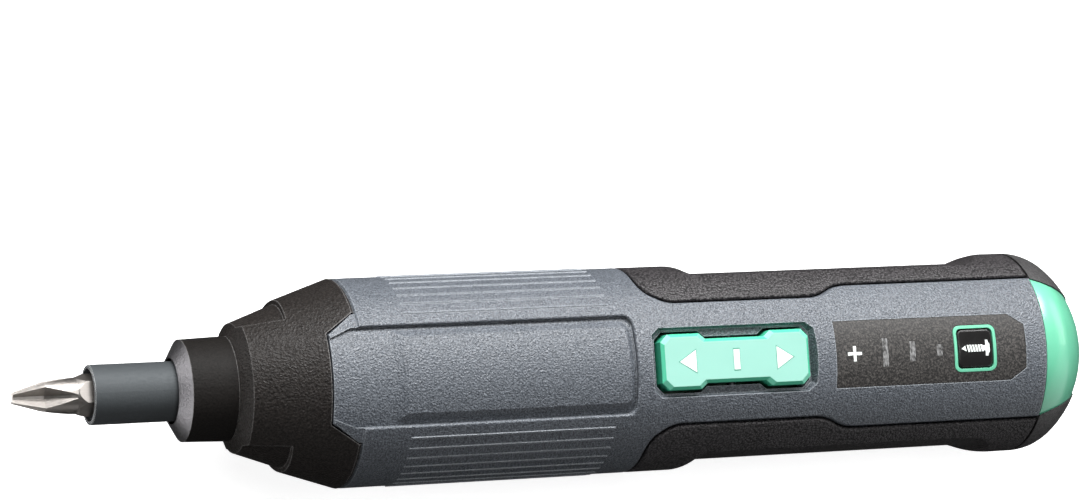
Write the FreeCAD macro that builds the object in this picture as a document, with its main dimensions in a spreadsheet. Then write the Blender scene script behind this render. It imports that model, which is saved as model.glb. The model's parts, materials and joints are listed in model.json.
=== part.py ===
import FreeCAD, Part
import Sketcher
import math
import os

# A straight cordless screwdriver lying on its back, control side up.
# The tool axis runs along X with the bit's point first; Y is across the controls, Z is up.
# Everything is drawn from the bit's point on the tool axis and then set down on the floor.

# Driving sizes in millimetres, angles in degrees.
SIZES = {
    # lengths along the axis, from the bit's point to the tail
    "bit_reach": 13.0,
    "chuck_reach": 14.2,
    "collar_length": 9.7,
    "nose_length": 19.2,
    "barrel_length": 52.5,
    "handle_length": 75.5,
    "tail_length": 13.5,
    # housing
    "body_radius": 18.0,
    "land_depth": 1.4,
    "barrel_wall": 3.8,
    "handle_wall": 4.6,
    "grip_depth": 2.8,
    "overrun": 1.0,
    "touch": 0.02,
    "seam_gap": 0.25,
    "seam_edge": 0.35,
    "bond_gap": 0.05,
    "running_gap": 0.05,
    "lip_reach": 3.6,
    "lip_wall": 1.2,
    # finger channel and pad on the barrel
    "channel_depth": 0.95,
    "channel_inset": 9.6,
    "channel_front_inset": 11.3,
    "channel_slant": 4.0,
    "channel_end": 3.2,
    "channel_corner": 1.6,
    "channel_edge": 0.35,
    "tongue_reach": 5.3,
    "tongue_rise": 0.3,
    "tongue_rim": 0.5,
    "notch_front_inset": 10.3,
    "notch_back_inset": 6.9,
    "pad_depth": 0.3,
    "pad_start": 5.8,
    "pad_moat": 0.4,
    "pad_corner": 1.8,
    "pad_edge": 0.4,
    "pad_front_slope": 1.9,
    "pad_rear_slope": 0.9,
    "pad_side_angle": 42.0,
    # grip ribs on the barrel
    "rib_first_angle": 36.0,
    "rib_step_angle": 7.2,
    "rib_height": 0.16,
    "rib_width": 0.55,
    "rib_start": 8.6,
    "rib_end": 6.9,
    # grips and the strip between them
    "strip_front_inset": 7.6,
    "strip_rear_inset": 5.6,
    "strip_slant_start": 32.9,
    "strip_slant_length": 4.1,
    "grip_slant_inset": 5.1,
    "grip_slant_length": 4.0,
    "grip_bend_reach": 1.9,
    "grip_edge": 0.4,
    "strip_edge": 0.5,
    "waist_depth": 1.6,
    "waist_crown": 47.0,
    "waist_angle": 60.0,
    "flare_front": 8.3,
    "flare_front_ramp": 4.4,
    "flare_rear": 3.7,
    "flare_rear_ramp": 8.0,
    # nose cone
    "nose_mouth": 9.2,
    "rim_setback": 1.0,
    "rim_lift": 1.4,
    "rim_bevel": 0.5,
    "cone_land": 0.5,
    "scoop_half": 9.9,
    "scoop_spread": 0.8,
    "scoop_length": 7.4,
    "scoop_step": 1.2,
    "scoop_front_depth": 1.1,
    "scoop_rear_depth": 0.73,
    "nose_skin": 1.1,
    "nose_bore_front": 9.0,
    "case_seat": 1.8,
    # collar and spindle
    "collar_mouth": 5.9,
    "collar_chamfer": 1.7,
    "collar_front_radius": 8.7,
    "collar_rear_radius": 8.95,
    "collar_lip": 1.2,
    "collar_gap": 0.5,
    "spigot_radius": 7.5,
    "spigot_length": 3.1,
    "bush_radius": 6.6,
    "spindle_radius": 5.1,
    "spindle_chamfer": 0.5,
    "mouth_edge": 0.15,
    "mouth_rim": 0.55,
    "mouth_depth": 1.6,
    "hex_flats": 6.35,
    "hex_gap": 0.08,
    "hex_turn_angle": 7.0,
    "bit_end_gap": 0.2,
    "magnet_radius": 3.0,
    "magnet_length": 3.0,
    "clip_groove_radius": 4.3,
    "clip_width": 0.8,
    "clip_radius": 6.4,
    "clip_setback": 0.4,
    # screwdriver bit
    "bit_length": 25.0,
    "bit_tip_radius": 1.15,
    "bit_cone_length": 5.2,
    "bit_cone_radius": 3.0,
    "bit_neck_length": 10.7,
    "bit_neck_radius": 3.1,
    "bit_shoulder_length": 12.2,
    "flute_tip_floor": 0.42,
    "flute_middle_floor": 0.95,
    "flute_floor_half": 0.28,
    "flute_wall_angle": 45.0,
    "flute_turn_angle": 5.0,
    # gear train
    "ring_wall": 1.52,
    "gear_backlash": 0.09,
    "planet_width": 6.0,
    "fast_planet_width": 5.0,
    "planet_pin_radius": 1.0,
    "carrier_rim": 2.2,
    "carrier_thickness": 1.6,
    "axial_gap": 0.2,
    "case_lead": 7.7,
    "case_gap": 0.2,
    "case_wall": 1.5,
    "washer_thickness": 0.3,
    "washer_inset": 1.4,
    "plate_gap": 0.5,
    "plate_thickness": 1.6,
    "plate_bore": 3.4,
    # motor
    "motor_gap": 2.0,
    "bell_gap": 5.5,
    "motor_boss_radius": 3.0,
    "bell_length": 3.8,
    "bell_step": 0.6,
    "motor_shaft_radius": 1.0,
    "motor_rib_width": 1.4,
    "motor_rib_start": 8.0,
    "motor_rib_end": 6.0,
    "terminal_reach": 2.5,
    "terminal_width": 2.8,
    "terminal_thickness": 0.5,
    "terminal_inset": 4.6,
    # battery
    "cell_foot": 0.75,
    "cell_end_gap": 7.4,
    "cell_drop": 3.5,
    "cell_nub_radius": 2.6,
    "cell_nub_height": 0.4,
    "cell_start": 3.1,
    "cradle_width": 1.4,
    "cradle_start": 12.0,
    "cradle_end": 7.6,
    "cradle_top": 1.0,
    "tab_thickness": 0.3,
    "tab_half": 3.0,
    "tab_drop": 3.0,
    # main board and what stands on it
    "board_start": 3.4,
    "board_end": 7.5,
    "board_side_gap": 0.44,
    "board_lift": 0.75,
    "board_thickness": 1.2,
    "rail_width": 1.2,
    "rail_edge": 0.2,
    "rail_height": 2.6,
    "rail_inset": 3.0,
    "switch_half": 2.2,
    "switch_height": 2.0,
    "plunger_radius": 1.2,
    "plunger_height": 0.6,
    "led_half": 0.6,
    "led_height": 0.6,
    # direction rocker
    "rocker_start": 1.2,
    "rocker_length": 27.8,
    "rocker_half": 4.83,
    "rocker_corner": 1.3,
    "rocker_waist": 1.0,
    "rocker_waist_length": 11.0,
    "rocker_waist_slant": 1.2,
    "rocker_proud": 0.2,
    "rocker_depth": 4.6,
    "rocker_bevel": 0.55,
    "rocker_gap": 0.5,
    "rocker_bed_rim": 0.35,
    "window_bevel": 1.0,
    "pivot_depth": 3.4,
    "pivot_radius": 0.8,
    "pivot_half": 6.6,
    "stem_offset": 9.0,
    "stem_half": 1.6,
    "stem_gap": 0.75,
    # control panel, lights and mode button
    "panel_start": 34.2,
    "panel_end": 4.3,
    "panel_half": 5.85,
    "panel_corner_length": 3.0,
    "panel_corner_width": 2.0,
    "panel_depth": 0.8,
    "panel_sink": 0.06,
    "light_width": 1.1,
    "light_long_half": 2.5,
    "light_step_half": 0.75,
    "button_end": 14.3,
    "button_half": 3.3,
    "button_corner": 0.9,
    "button_gap": 0.25,
    "button_flange": 0.8,
    "button_flange_depth": 6.0,
    "button_flange_height": 1.0,
    "button_stem_gap": 0.6,
    "frame_half": 4.12,
    "frame_corner": 1.3,
    "frame_depth": 4.0,
    # housing screws
    "screw_front": 0.6,
    "screw_rear": 4.7,
    "screw_inset": 3.9,
    "screw_radius": 1.1,
    "screw_head_radius": 1.9,
    "screw_head_height": 1.4,
    "screw_seat_depth": 4.6,
    "screw_grip": 5.0,
    "boss_radius": 2.2,
    "boss_skin": 3.0,
    # tail
    "dome_corner": 9.0,
    "band_half": 12.3,
    "band_end_half": 7.4,
    "band_sink": 0.25,
    "band_depth": 2.2,
    "tail_wall": 2.0,
    "tail_spigot_length": 2.0,
    "tail_spigot_wall": 1.2,
    # charging port
    "port_half": 4.47,
    "port_height": 3.26,
    "port_corner": 1.5,
    "port_length": 7.4,
    "port_wall": 0.3,
    "port_sink": 0.5,
    "port_gap": 0.15,
    "port_tongue_half": 3.35,
    "port_tongue_thickness": 0.7,
    "port_tongue_length": 5.0,
    "charge_board_side_gap": 0.8,
    "charge_board_reach": 5.9,
    "charge_board_end": 7.0,
    "charge_board_thickness": 1.0,
}

# Tooth counts of the two equal planet stages, planets in a stage, ribs in a quarter of the barrel,
# flutes of the bit.
SUN_TEETH = 12
PLANET_TEETH = 24
RING_TEETH = 60
PLANETS = 3
RIBS = 8
FLUTES = 4
# Points looked at along an edge to tell where it lies.
EDGE_POINTS = 7
PRESSURE_ANGLE = math.radians(20.0)
ADDENDUM_SHARE = 0.85
DEDENDUM_SHARE = 1.2
# How far the nose's front rim follows the housing's radius.
RIM_SHARE = 0.6
# Where the light bars start, between the panel's front edge and the button's frame.
LIGHT_SHARES = (0.39, 0.62, 0.85)


class Size:
    """A number together with the sheet expression that gives it."""

    def __init__(self, value, text):
        self.value = value
        self.text = text

    def __add__(self, other):
        return Size(self.value + number(other), f"({self.text} + {words(other)})")

    def __sub__(self, other):
        return Size(self.value - number(other), f"({self.text} - {words(other)})")

    def __rsub__(self, other):
        return Size(number(other) - self.value, f"({words(other)} - {self.text})")

    def __mul__(self, other):
        return Size(self.value * number(other), f"({self.text} * {words(other)})")

    def __truediv__(self, other):
        return Size(self.value / number(other), f"({self.text} / {words(other)})")

    def __neg__(self):
        return Size(-self.value, f"(0 - {self.text})")

    __radd__ = __add__
    __rmul__ = __mul__


def number(item):
    return item.value if isinstance(item, Size) else float(item)


def words(item):
    return item.text if isinstance(item, Size) else repr(item)


def root(item):
    return Size(math.sqrt(item.value), f"sqrt({item.text})")


def cosine(angle):
    return Size(math.cos(math.radians(angle.value)), f"cos({angle.text})")


def sine(angle):
    return Size(math.sin(math.radians(angle.value)), f"sin({angle.text})")


def tangent(angle):
    return Size(math.tan(math.radians(angle.value)), f"tan({angle.text})")


doc = FreeCAD.newDocument("screwdriver")
sheet = doc.addObject("Spreadsheet::Sheet", "sizes")


class Sizes:
    """The sheet's values, each under its alias."""


d = Sizes()
for row, (alias, amount) in enumerate(SIZES.items(), start=1):
    sheet.set(f"A{row}", str(amount))
    sheet.setAlias(f"A{row}", alias)
    setattr(d, alias, Size(amount, f"sizes.{alias}"))
doc.recompute()

NODES = []

# Stations along the axis, measured from the bit's point.
chuck_face = d.bit_reach
collar_front = chuck_face + d.chuck_reach
nose_front = collar_front + d.collar_length
barrel_front = nose_front + d.nose_length
handle_front = barrel_front + d.barrel_length
tail_front = handle_front + d.handle_length
tail_end = tail_front + d.tail_length

socket_depth = d.bit_length - d.bit_reach + d.bit_end_gap
case_front = barrel_front - d.case_lead
case_inside = case_front + d.case_wall
slow_carrier = case_inside + d.washer_thickness + d.axial_gap
slow_planets = slow_carrier + d.carrier_thickness + d.axial_gap
fast_carrier = slow_planets + d.planet_width + d.axial_gap
fast_planets = fast_carrier + d.carrier_thickness + d.axial_gap
plate_front = fast_planets + d.fast_planet_width + d.plate_gap
motor_front = plate_front + d.plate_thickness
bell_end = handle_front - d.bell_gap
bell_front = bell_end - d.bell_length

cell_front = handle_front + d.cell_start
cell_end = tail_front - d.cell_end_gap
board_front = handle_front + d.board_start
board_end = tail_front - d.board_end
pivot_station = handle_front + d.rocker_start + d.rocker_length / 2
panel_front = handle_front + d.panel_start
panel_back = tail_front - d.panel_end
button_station = tail_front - d.button_end
screw_stations = (handle_front + d.screw_front, tail_front - d.screw_rear)

# The housing's layers, from its skin inward.
land_height = d.body_radius - d.land_depth
grip_floor = d.body_radius - d.grip_depth
channel_floor = d.body_radius - d.channel_depth
pad_radius = d.body_radius - d.pad_depth
panel_floor = d.body_radius - d.panel_depth
waist_half = d.body_radius - d.waist_depth
channel_half = d.body_radius - d.channel_inset
channel_front_half = d.body_radius - d.channel_front_inset
notch_front_half = d.body_radius - d.notch_front_inset
notch_back_half = d.body_radius - d.notch_back_inset
strip_front_half = d.body_radius - d.strip_front_inset
strip_rear_half = d.body_radius - d.strip_rear_inset
grip_slant_half = d.body_radius - d.grip_slant_inset
screw_offset = strip_rear_half - d.screw_inset
rim_radius = d.body_radius * RIM_SHARE + d.rim_lift
barrel_bore = d.body_radius - d.barrel_wall
handle_bore = d.body_radius - d.handle_wall

# What fills the barrel.
case_radius = barrel_bore - d.case_gap
gear_module = (case_radius - d.ring_wall) / (RING_TEETH / 2 + DEDENDUM_SHARE)
orbit_radius = gear_module * ((SUN_TEETH + PLANET_TEETH) / 2)
carrier_radius = orbit_radius + d.planet_pin_radius + d.carrier_rim
motor_radius = barrel_bore - d.motor_gap
bell_radius = motor_radius - d.bell_step

# What fills the handle, from the cell up to the controls.
cell_radius = handle_bore - d.cell_drop - d.cell_foot
board_height = cell_radius - d.cell_drop + d.board_lift
board_top = board_height + d.board_thickness
board_half = root(handle_bore * handle_bore - board_top * board_top) - d.board_side_gap
switch_top = board_top + d.switch_height + d.plunger_height
rocker_top = d.body_radius + d.rocker_proud
pivot_height = rocker_top - d.pivot_depth
screw_seat = d.body_radius - d.screw_seat_depth


def place(item, x=0, y=0, z=0):
    """Set an object down with the middle of the tool over the origin and the flat land on the floor."""
    item.setExpression("Placement.Base.x", words(x - tail_end / 2))
    if number(y) != 0:
        item.setExpression("Placement.Base.y", words(y))
    item.setExpression("Placement.Base.z", words(land_height + z))


def new_body(label, x=0, y=0, z=0, several=False):
    body = doc.addObject("PartDesign::Body", label)
    body.Label = label
    if several:
        body.AllowCompound = True
    place(body, x, y, z)
    NODES.append(body)
    return body


def new_solid(label, shape):
    """A solid that is worked out by formula, set down like the rest."""
    item = doc.addObject("Part::Feature", label)
    item.Label = label
    item.Shape = shape
    place(item)
    NODES.append(item)
    return item


def origin_part(body, role):
    return [part for part in body.Origin.OriginFeatures if part.Role == role][0]


def arc_between(start, end, radius):
    """The short arc from start to end; a positive radius turns left, a negative one right."""
    chord = end - start
    middle = (start + end) * 0.5
    left = FreeCAD.Vector(-chord.y, chord.x, 0)
    left.normalize()
    rise = math.sqrt(max(radius * radius - chord.Length * chord.Length / 4, 0))
    centre = middle + left * math.copysign(rise, radius)
    first, last = (start, end) if radius > 0 else (end, start)
    angles = [math.atan2(spot.y - centre.y, spot.x - centre.x) for spot in (first, last)]
    circle = Part.Circle(centre, FreeCAD.Vector(0, 0, 1), abs(radius))
    return Part.ArcOfCircle(circle, angles[0], angles[1])


def draw_loop(sketch, corners):
    """Draw a closed loop. A corner is (x, y), or (x, y, radius) where an arc starts there."""
    base = sketch.GeometryCount
    count = len(corners)
    spots = [FreeCAD.Vector(number(corner[0]), number(corner[1]), 0) for corner in corners]
    ends = []
    rules = []
    links = []

    def rule(text, *terms):
        rules.append(Sketcher.Constraint(*terms, number(text)))
        links.append((len(rules) - 1, text))

    for index, corner in enumerate(corners):
        here, there = spots[index], spots[(index + 1) % count]
        if len(corner) == 2:
            sketch.addGeometry(Part.LineSegment(here, there), False)
            ends.append((1, 2))
        else:
            radius = number(corner[2])
            sketch.addGeometry(arc_between(here, there, radius), False)
            ends.append((1, 2) if radius > 0 else (2, 1))
    for index, corner in enumerate(corners):
        following = (index + 1) % count
        rules.append(Sketcher.Constraint("Coincident", base + index, ends[index][1],
                                         base + following, ends[following][0]))
        for kind, axis, value in (("DistanceX", -2, corner[0]), ("DistanceY", -1, corner[1])):
            if isinstance(value, Size):
                rule(value, kind, -1, 1, base + index, ends[index][0])
            else:
                rules.append(Sketcher.Constraint("PointOnObject", base + index, ends[index][0], axis))
        if len(corner) == 3:
            radius = corner[2] if number(corner[2]) > 0 else -corner[2]
            rule(radius, "Radius", base + index)
    offset = sketch.ConstraintCount
    sketch.addConstraint(rules)
    for index, text in links:
        sketch.setExpression(f"Constraints[{offset + index}]", words(text))


def draw_circle(sketch, x, y, radius):
    base = sketch.GeometryCount
    centre = FreeCAD.Vector(number(x), number(y), 0)
    sketch.addGeometry(Part.Circle(centre, FreeCAD.Vector(0, 0, 1), number(radius)), False)
    offset = sketch.ConstraintCount
    terms = [("Radius", (base,), radius), ("DistanceX", (-1, 1, base, 3), x),
             ("DistanceY", (-1, 1, base, 3), y)]
    for index, (kind, where, value) in enumerate(terms):
        if isinstance(value, Size):
            sketch.addConstraint(Sketcher.Constraint(kind, *where, number(value)))
            sketch.setExpression(f"Constraints[{offset + index}]", words(value))
        else:
            axis = -2 if kind == "DistanceX" else -1
            sketch.addConstraint(Sketcher.Constraint("PointOnObject", base, 3, axis))


def new_sketch(body, name, plane, loops, start=None, turn=None, axis_line=None):
    sketch = body.newObject("Sketcher::SketchObject", name + "_sketch")
    sketch.AttachmentSupport = [(origin_part(body, plane), "")]
    sketch.MapMode = "FlatFace"
    if turn is not None:
        spin = FreeCAD.Rotation(FreeCAD.Vector(0, 0, 1), turn.value)
        sketch.AttachmentOffset = FreeCAD.Placement(FreeCAD.Vector(), spin)
        sketch.setExpression("AttachmentOffset.Rotation.Angle", words(turn))
    if start is not None:
        sketch.setExpression("AttachmentOffset.Base.z", words(start))
    for loop in loops:
        if isinstance(loop, tuple):
            draw_circle(sketch, *loop)
        else:
            draw_loop(sketch, loop)
    if axis_line is not None:
        draw_axis(sketch, *axis_line)
    return sketch


def draw_axis(sketch, first, last):
    """A construction line to turn a profile about."""
    spots = [FreeCAD.Vector(number(x), number(y), 0) for x, y in (first, last)]
    line = sketch.addGeometry(Part.LineSegment(*spots), True)
    for point, (x, y) in enumerate((first, last), start=1):
        for kind, value in (("DistanceX", x), ("DistanceY", y)):
            index = sketch.addConstraint(Sketcher.Constraint(kind, -1, 1, line, point, number(value)))
            sketch.setExpression(f"Constraints[{index}]", words(value))


def pad(body, name, plane, loops, length, start=None, both=False, toward=1, cut=False, turn=None):
    """Push outlines along their plane's normal, adding or cutting."""
    sketch = new_sketch(body, name, plane, loops, start, turn)
    feature = body.newObject("PartDesign::Pocket" if cut else "PartDesign::Pad", name)
    feature.Profile = sketch
    feature.setExpression("Length", words(length))
    feature.SideType = "Symmetric" if both else "One side"
    feature.Reversed = (toward > 0) if cut else (toward < 0)
    return feature


def turn(body, name, plane, loops, angle=360.0, toward=1, cut=False, axis="H_Axis", both=False,
         axis_line=None):
    """Turn outlines about an axis of their sketch, adding or cutting."""
    sketch = new_sketch(body, name, plane, loops, axis_line=axis_line)
    feature = body.newObject("PartDesign::Groove" if cut else "PartDesign::Revolution", name)
    feature.Profile = sketch
    feature.ReferenceAxis = (sketch, ["Axis0" if axis_line is not None else axis])
    if isinstance(angle, Size):
        feature.setExpression("Angle", words(angle))
    else:
        feature.Angle = angle
    feature.Midplane = both
    feature.Reversed = toward < 0
    return feature


def polar_copies(body, name, original, count, angle=None):
    """Copies about the tool axis, over a full turn or over the angle given."""
    pattern = body.newObject("PartDesign::PolarPattern", name)
    pattern.Originals = [original]
    pattern.Axis = (origin_part(body, "X_Axis"), [""])
    if angle is None:
        pattern.Angle = 360.0
    else:
        pattern.setExpression("Angle", words(angle))
    pattern.Occurrences = count
    body.Tip = pattern
    return pattern


def row_copies(body, name, original, reach, count):
    """Copies along the tool axis, spread evenly over the reach given."""
    pattern = body.newObject("PartDesign::LinearPattern", name)
    pattern.Originals = [original]
    pattern.Direction = (origin_part(body, "X_Axis"), [""])
    pattern.setExpression("Length", words(reach))
    pattern.Occurrences = count
    body.Tip = pattern
    return pattern


def round_edges(body, name, radius, wanted):
    """Round each edge of a body whose points, as station, offset, height and radius, are all wanted."""
    doc.recompute()
    base = body.Tip
    picked = []
    for index, edge in enumerate(base.Shape.Edges, start=1):
        spots = edge.discretize(EDGE_POINTS)
        if all(wanted(spot.x, spot.y, spot.z, math.hypot(spot.y, spot.z)) for spot in spots):
            picked.append(f"Edge{index}")
    fillet = body.newObject("PartDesign::Fillet", name)
    fillet.Base = (base, picked)
    fillet.setExpression("Radius", words(radius))
    body.Tip = fillet


def at(level, amount):
    """Whether a length is the level given."""
    return abs(amount - number(level)) < number(d.touch)


def above(level, amount):
    return amount > number(level) - number(d.touch)


def below(level, amount):
    return amount < number(level) + number(d.touch)


def box(x0, x1, y0, y1):
    return [(x0, y0), (x1, y0), (x1, y1), (x0, y1)]


def rounded_box(x0, x1, y0, y1, r):
    return [(x0 + r, y0), (x1 - r, y0, r), (x1, y0 + r), (x1, y1 - r, r),
            (x1 - r, y1), (x0 + r, y1, r), (x0, y1 - r), (x0, y0 + r, r)]


def bevelled_box(x0, x1, y0, y1, c):
    return [(x0 + c, y0), (x1 - c, y0), (x1, y0 + c), (x1, y1 - c),
            (x1 - c, y1), (x0 + c, y1), (x0, y1 - c), (x0, y0 + c)]


def bend(before, corner, after, reach):
    """Two points in place of a corner, joined by the arc that touches both its sides."""
    sides = []
    for x, y in (before, after):
        x, y = x - corner[0], y - corner[1]
        length = root(x * x + y * y)
        sides.append((x / length, y / length))
    (x0, y0), (x1, y1) = sides
    lean = x0 * x1 + y0 * y1
    radius = reach * root((1 - lean) / (1 + lean))
    if number(x0 * y1 - y0 * x1) > 0:
        radius = -radius
    return [(corner[0] + reach * x0, corner[1] + reach * y0, radius),
            (corner[0] + reach * x1, corner[1] + reach * y1)]


def mirrored_loop(corners):
    """The same loop on the other side of the X axis."""
    return [(corner[0], -corner[1]) + tuple(-radius for radius in corner[2:]) for corner in corners]


def both_sides(corners):
    return [corners, mirrored_loop(corners)]


# Outlines shared by pieces that fit together.

def grip_outline(gap):
    """Plan of one grip, drawn in by gap from the strip and from the barrel."""
    outside = d.body_radius + d.overrun
    slant_end = handle_front + d.strip_slant_start + d.strip_slant_length
    path = [
        (handle_front + gap, outside),
        (handle_front + gap, grip_slant_half + gap),
        (handle_front + d.grip_slant_length + gap, strip_front_half + gap),
        (handle_front + d.strip_slant_start, strip_front_half + gap),
        (slant_end, strip_rear_half + gap),
        (tail_front - gap, strip_rear_half + gap),
        (tail_front - gap, outside),
    ]
    bends = [bend(*path[index - 1:index + 2], d.grip_bend_reach) for index in range(1, 5)]
    return path[:1] + sum(bends, []) + path[5:]


def grip_bed_outline():
    """Plan of the bed cut for one grip; it runs out past the tail seam."""
    corners = grip_outline(0)
    last = tail_front + d.overrun
    return corners[:-2] + [(last, strip_rear_half), (last, d.body_radius + d.overrun)]


def channel_outline():
    """Plan of the finger channel, from the tongue in the nose to its rounded rear end."""
    front = barrel_front - d.tongue_reach - d.overrun
    knee = barrel_front - d.tongue_reach
    rear = handle_front - d.channel_end
    wide, slim, r = channel_half, channel_front_half, d.channel_corner
    return [
        (front, -slim), (knee, -slim), (knee + d.channel_slant, -wide),
        (rear - r, -wide, r), (rear, r - wide), (rear, wide - r, r), (rear - r, wide),
        (knee + d.channel_slant, wide), (knee, slim), (front, slim),
    ]


def pad_outline(half):
    """Plan of the pad at a level where it is twice half across; its front runs out under the slope."""
    first, last = barrel_front + d.pad_start - d.overrun, pad_end
    r = d.pad_corner
    return [(first, -half), (last - r, -half, r), (last, r - half), (last, half - r, r),
            (last - r, half), (first, half)]


def notch_outline(gap):
    """Plan of the tongue that runs into the notch of the nose, drawn in by gap."""
    front = barrel_front - d.tongue_reach + gap
    back = barrel_front - d.cone_land
    end = barrel_front + d.overrun
    slim, wide = notch_front_half - gap, notch_back_half - gap
    return [(front, -slim), (back, -wide), (end, -wide), (end, wide), (back, wide), (front, slim)]


def rocker_outline(gap):
    """Plan of the rocker with its bevelled corners and drawn-in middle, grown by gap."""
    first = handle_front + d.rocker_start - gap
    last = handle_front + d.rocker_start + d.rocker_length + gap
    half, c = d.rocker_half + gap, d.rocker_corner
    slim = half - d.rocker_waist
    near = d.rocker_waist_length / 2 - gap
    far = near + d.rocker_waist_slant
    mid = pivot_station
    upper = [(last, half - c), (last - c, half), (mid + far, half), (mid + near, slim),
             (mid - near, slim), (mid - far, half), (first + c, half), (first, half - c)]
    return upper + [(x, -y) for x, y in reversed(upper)]


def window_outline(gap):
    """Plan of the sunk bed round the rocker, a plain box with bevelled corners."""
    first = handle_front + d.rocker_start - gap
    last = handle_front + d.rocker_start + d.rocker_length + gap
    half = d.rocker_half + gap
    return bevelled_box(first, last, -half, half, d.rocker_corner)


def panel_outline(gap):
    first = panel_front - gap
    last = panel_back + gap
    half = d.panel_half + gap
    along, across = d.panel_corner_length, d.panel_corner_width
    return [(first, -half), (last - along, -half), (last, across - half), (last, half - across),
            (last - along, half), (first, half)]


def frame_outline(gap):
    half = d.frame_half + gap
    return rounded_box(button_station - half, button_station + half, -half, half, d.frame_corner)


def button_outline(gap):
    half = d.button_half + gap
    return rounded_box(button_station - half, button_station + half, -half, half, d.button_corner)


def light_stations():
    room = button_station - d.frame_half - panel_front
    return [panel_front + room * share for share in LIGHT_SHARES]


def light_outlines(gap):
    """Plans of the three light bars, each shorter than the one before it."""
    loops = []
    for index, station in enumerate(light_stations()):
        half = d.light_long_half - d.light_step_half * index + gap
        loops.append(box(station - gap, station + d.light_width + gap, -half, half))
    return loops


def dome_corners(inset):
    """Two arcs of the tail's meridian, from the seam to the apex, moved inwards by inset."""
    corner, rise, reach = d.dome_corner, d.body_radius - d.dome_corner, d.tail_length
    crown = (reach * reach + rise * rise - corner * corner) / (2 * (reach - corner))
    lean_x = (crown - reach) / (crown - corner)
    lean_y = rise / (crown - corner)
    small = corner - inset
    return [
        (tail_front, d.body_radius - inset, -small),
        (tail_front + small * lean_x, rise + small * lean_y, inset - crown),
        (tail_end - inset, 0),
    ]


def dome_shell(outer, inner):
    """A meridian section between two insets of the tail's dome."""
    going, back = dome_corners(outer), dome_corners(inner)
    apex, joint, seam = back[2], back[1], back[0]
    return going + [apex + (-joint[2],), joint[:2] + (-seam[2],), seam[:2]]


def band_edge(gap):
    """Plan of what lies beside the tail band, set back by gap."""
    outside = d.body_radius + d.overrun
    return [(tail_front - d.overrun, d.band_half + gap), (tail_front, d.band_half + gap),
            (tail_end, d.band_end_half + gap), (tail_end + d.overrun, d.band_end_half + gap),
            (tail_end + d.overrun, outside), (tail_front - d.overrun, outside)]


def band_plan():
    first, last = tail_front - d.overrun, tail_end + d.overrun
    wide, slim = d.band_half, d.band_end_half
    return [(first, -wide), (tail_front, -wide), (tail_end, -slim), (last, -slim),
            (last, slim), (tail_end, slim), (tail_front, wide), (first, wide)]


def cut_land(body, first, last):
    """Cut the flat land on the back that the tool lies on."""
    wide = d.body_radius + d.overrun
    pad(body, "land", "XY_Plane", [box(first, last, -wide, wide)], wide - land_height,
        start=-land_height, toward=-1, cut=True)


# Housing.

def cone_radius(station):
    """Outer radius of the nose cone at a station."""
    slope = (d.body_radius - rim_radius) / (barrel_front - d.cone_land - cone_start)
    return rim_radius + slope * (station - cone_start)


cone_start = nose_front + d.rim_setback + d.rim_bevel
pad_end = handle_front - d.channel_end - d.pad_moat


def shell_sleeve(body, side):
    """Barrel and handle skin, with the channel, pad, panel seat and grip beds cut in layers."""
    tongue = barrel_front - d.tongue_reach + d.seam_gap
    floor_front = cone_radius(tongue) + d.tongue_rise
    slope_start = barrel_front + d.pad_start
    slope_end = slope_start + d.pad_front_slope
    rear_slope = pad_end - d.pad_rear_slope
    edge = d.body_radius - d.seam_edge
    rim = [
        (tongue, floor_front), (tongue, floor_front + d.tongue_rim), (barrel_front, edge),
        (barrel_front + d.seam_edge, d.body_radius), (tail_front - d.seam_edge, d.body_radius),
        (tail_front, edge), (tail_front, panel_floor), (handle_front, panel_floor),
        (handle_front, channel_floor), (pad_end, channel_floor), (rear_slope, pad_radius),
        (slope_end, pad_radius), (slope_start, channel_floor), (barrel_front, channel_floor),
    ]
    cushion = [
        (slope_start, channel_floor), (slope_end, pad_radius), (rear_slope, pad_radius),
        (pad_end, channel_floor),
    ]
    under = box(handle_front, tail_front, grip_floor, panel_floor)
    core = [
        (tongue, barrel_bore), (tongue, floor_front), (barrel_front, channel_floor),
        (handle_front, channel_floor), (handle_front, grip_floor), (tail_front, grip_floor),
        (tail_front, handle_bore), (handle_front, handle_bore), (handle_front, barrel_bore),
    ]
    reach = d.body_radius + d.overrun
    turn(body, "rim_skin", "XY_Plane", [rim], 180.0, side)
    pad(body, "sinks", "XY_Plane", [channel_outline(), panel_outline(d.bond_gap)], reach,
        toward=side, cut=True)
    turn(body, "under_skin", "XY_Plane", [cushion, under], 180.0, side)
    moat(body)
    pad(body, "grip_beds", "XY_Plane", both_sides(grip_bed_outline()), reach, toward=side, cut=True)
    turn(body, "core", "XY_Plane", [core], 180.0, side)
    beside = [
        (tongue - d.overrun, reach), (tongue - d.overrun, notch_front_half - d.seam_gap),
        (tongue, notch_front_half - d.seam_gap),
        (barrel_front - d.cone_land, notch_back_half - d.seam_gap),
        (barrel_front, notch_back_half - d.seam_gap), (barrel_front, reach),
    ]
    pad(body, "tongue_sides", "XY_Plane", both_sides(beside), reach, toward=side, cut=True)


def moat(body):
    """Cut the groove round the pad, whose sides lean in towards its top."""
    lean = tangent(d.pad_side_angle)
    foot = root(channel_floor * channel_floor - channel_half * channel_half)
    low = foot - d.pad_moat / (2 * lean)
    high = d.body_radius + d.overrun
    half = channel_half - d.pad_moat / 2
    sections = []
    for name, level in (("low", low), ("high", high)):
        loops = [channel_outline(), pad_outline(half - (level - low) * lean)]
        sections.append(new_sketch(body, "moat_" + name, "XY_Plane", loops, start=level))
    groove = body.newObject("PartDesign::SubtractiveLoft", "moat")
    groove.Profile = sections[0]
    groove.Sections = sections[1:]
    groove.Ruled = True
    body.Tip = groove


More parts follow.
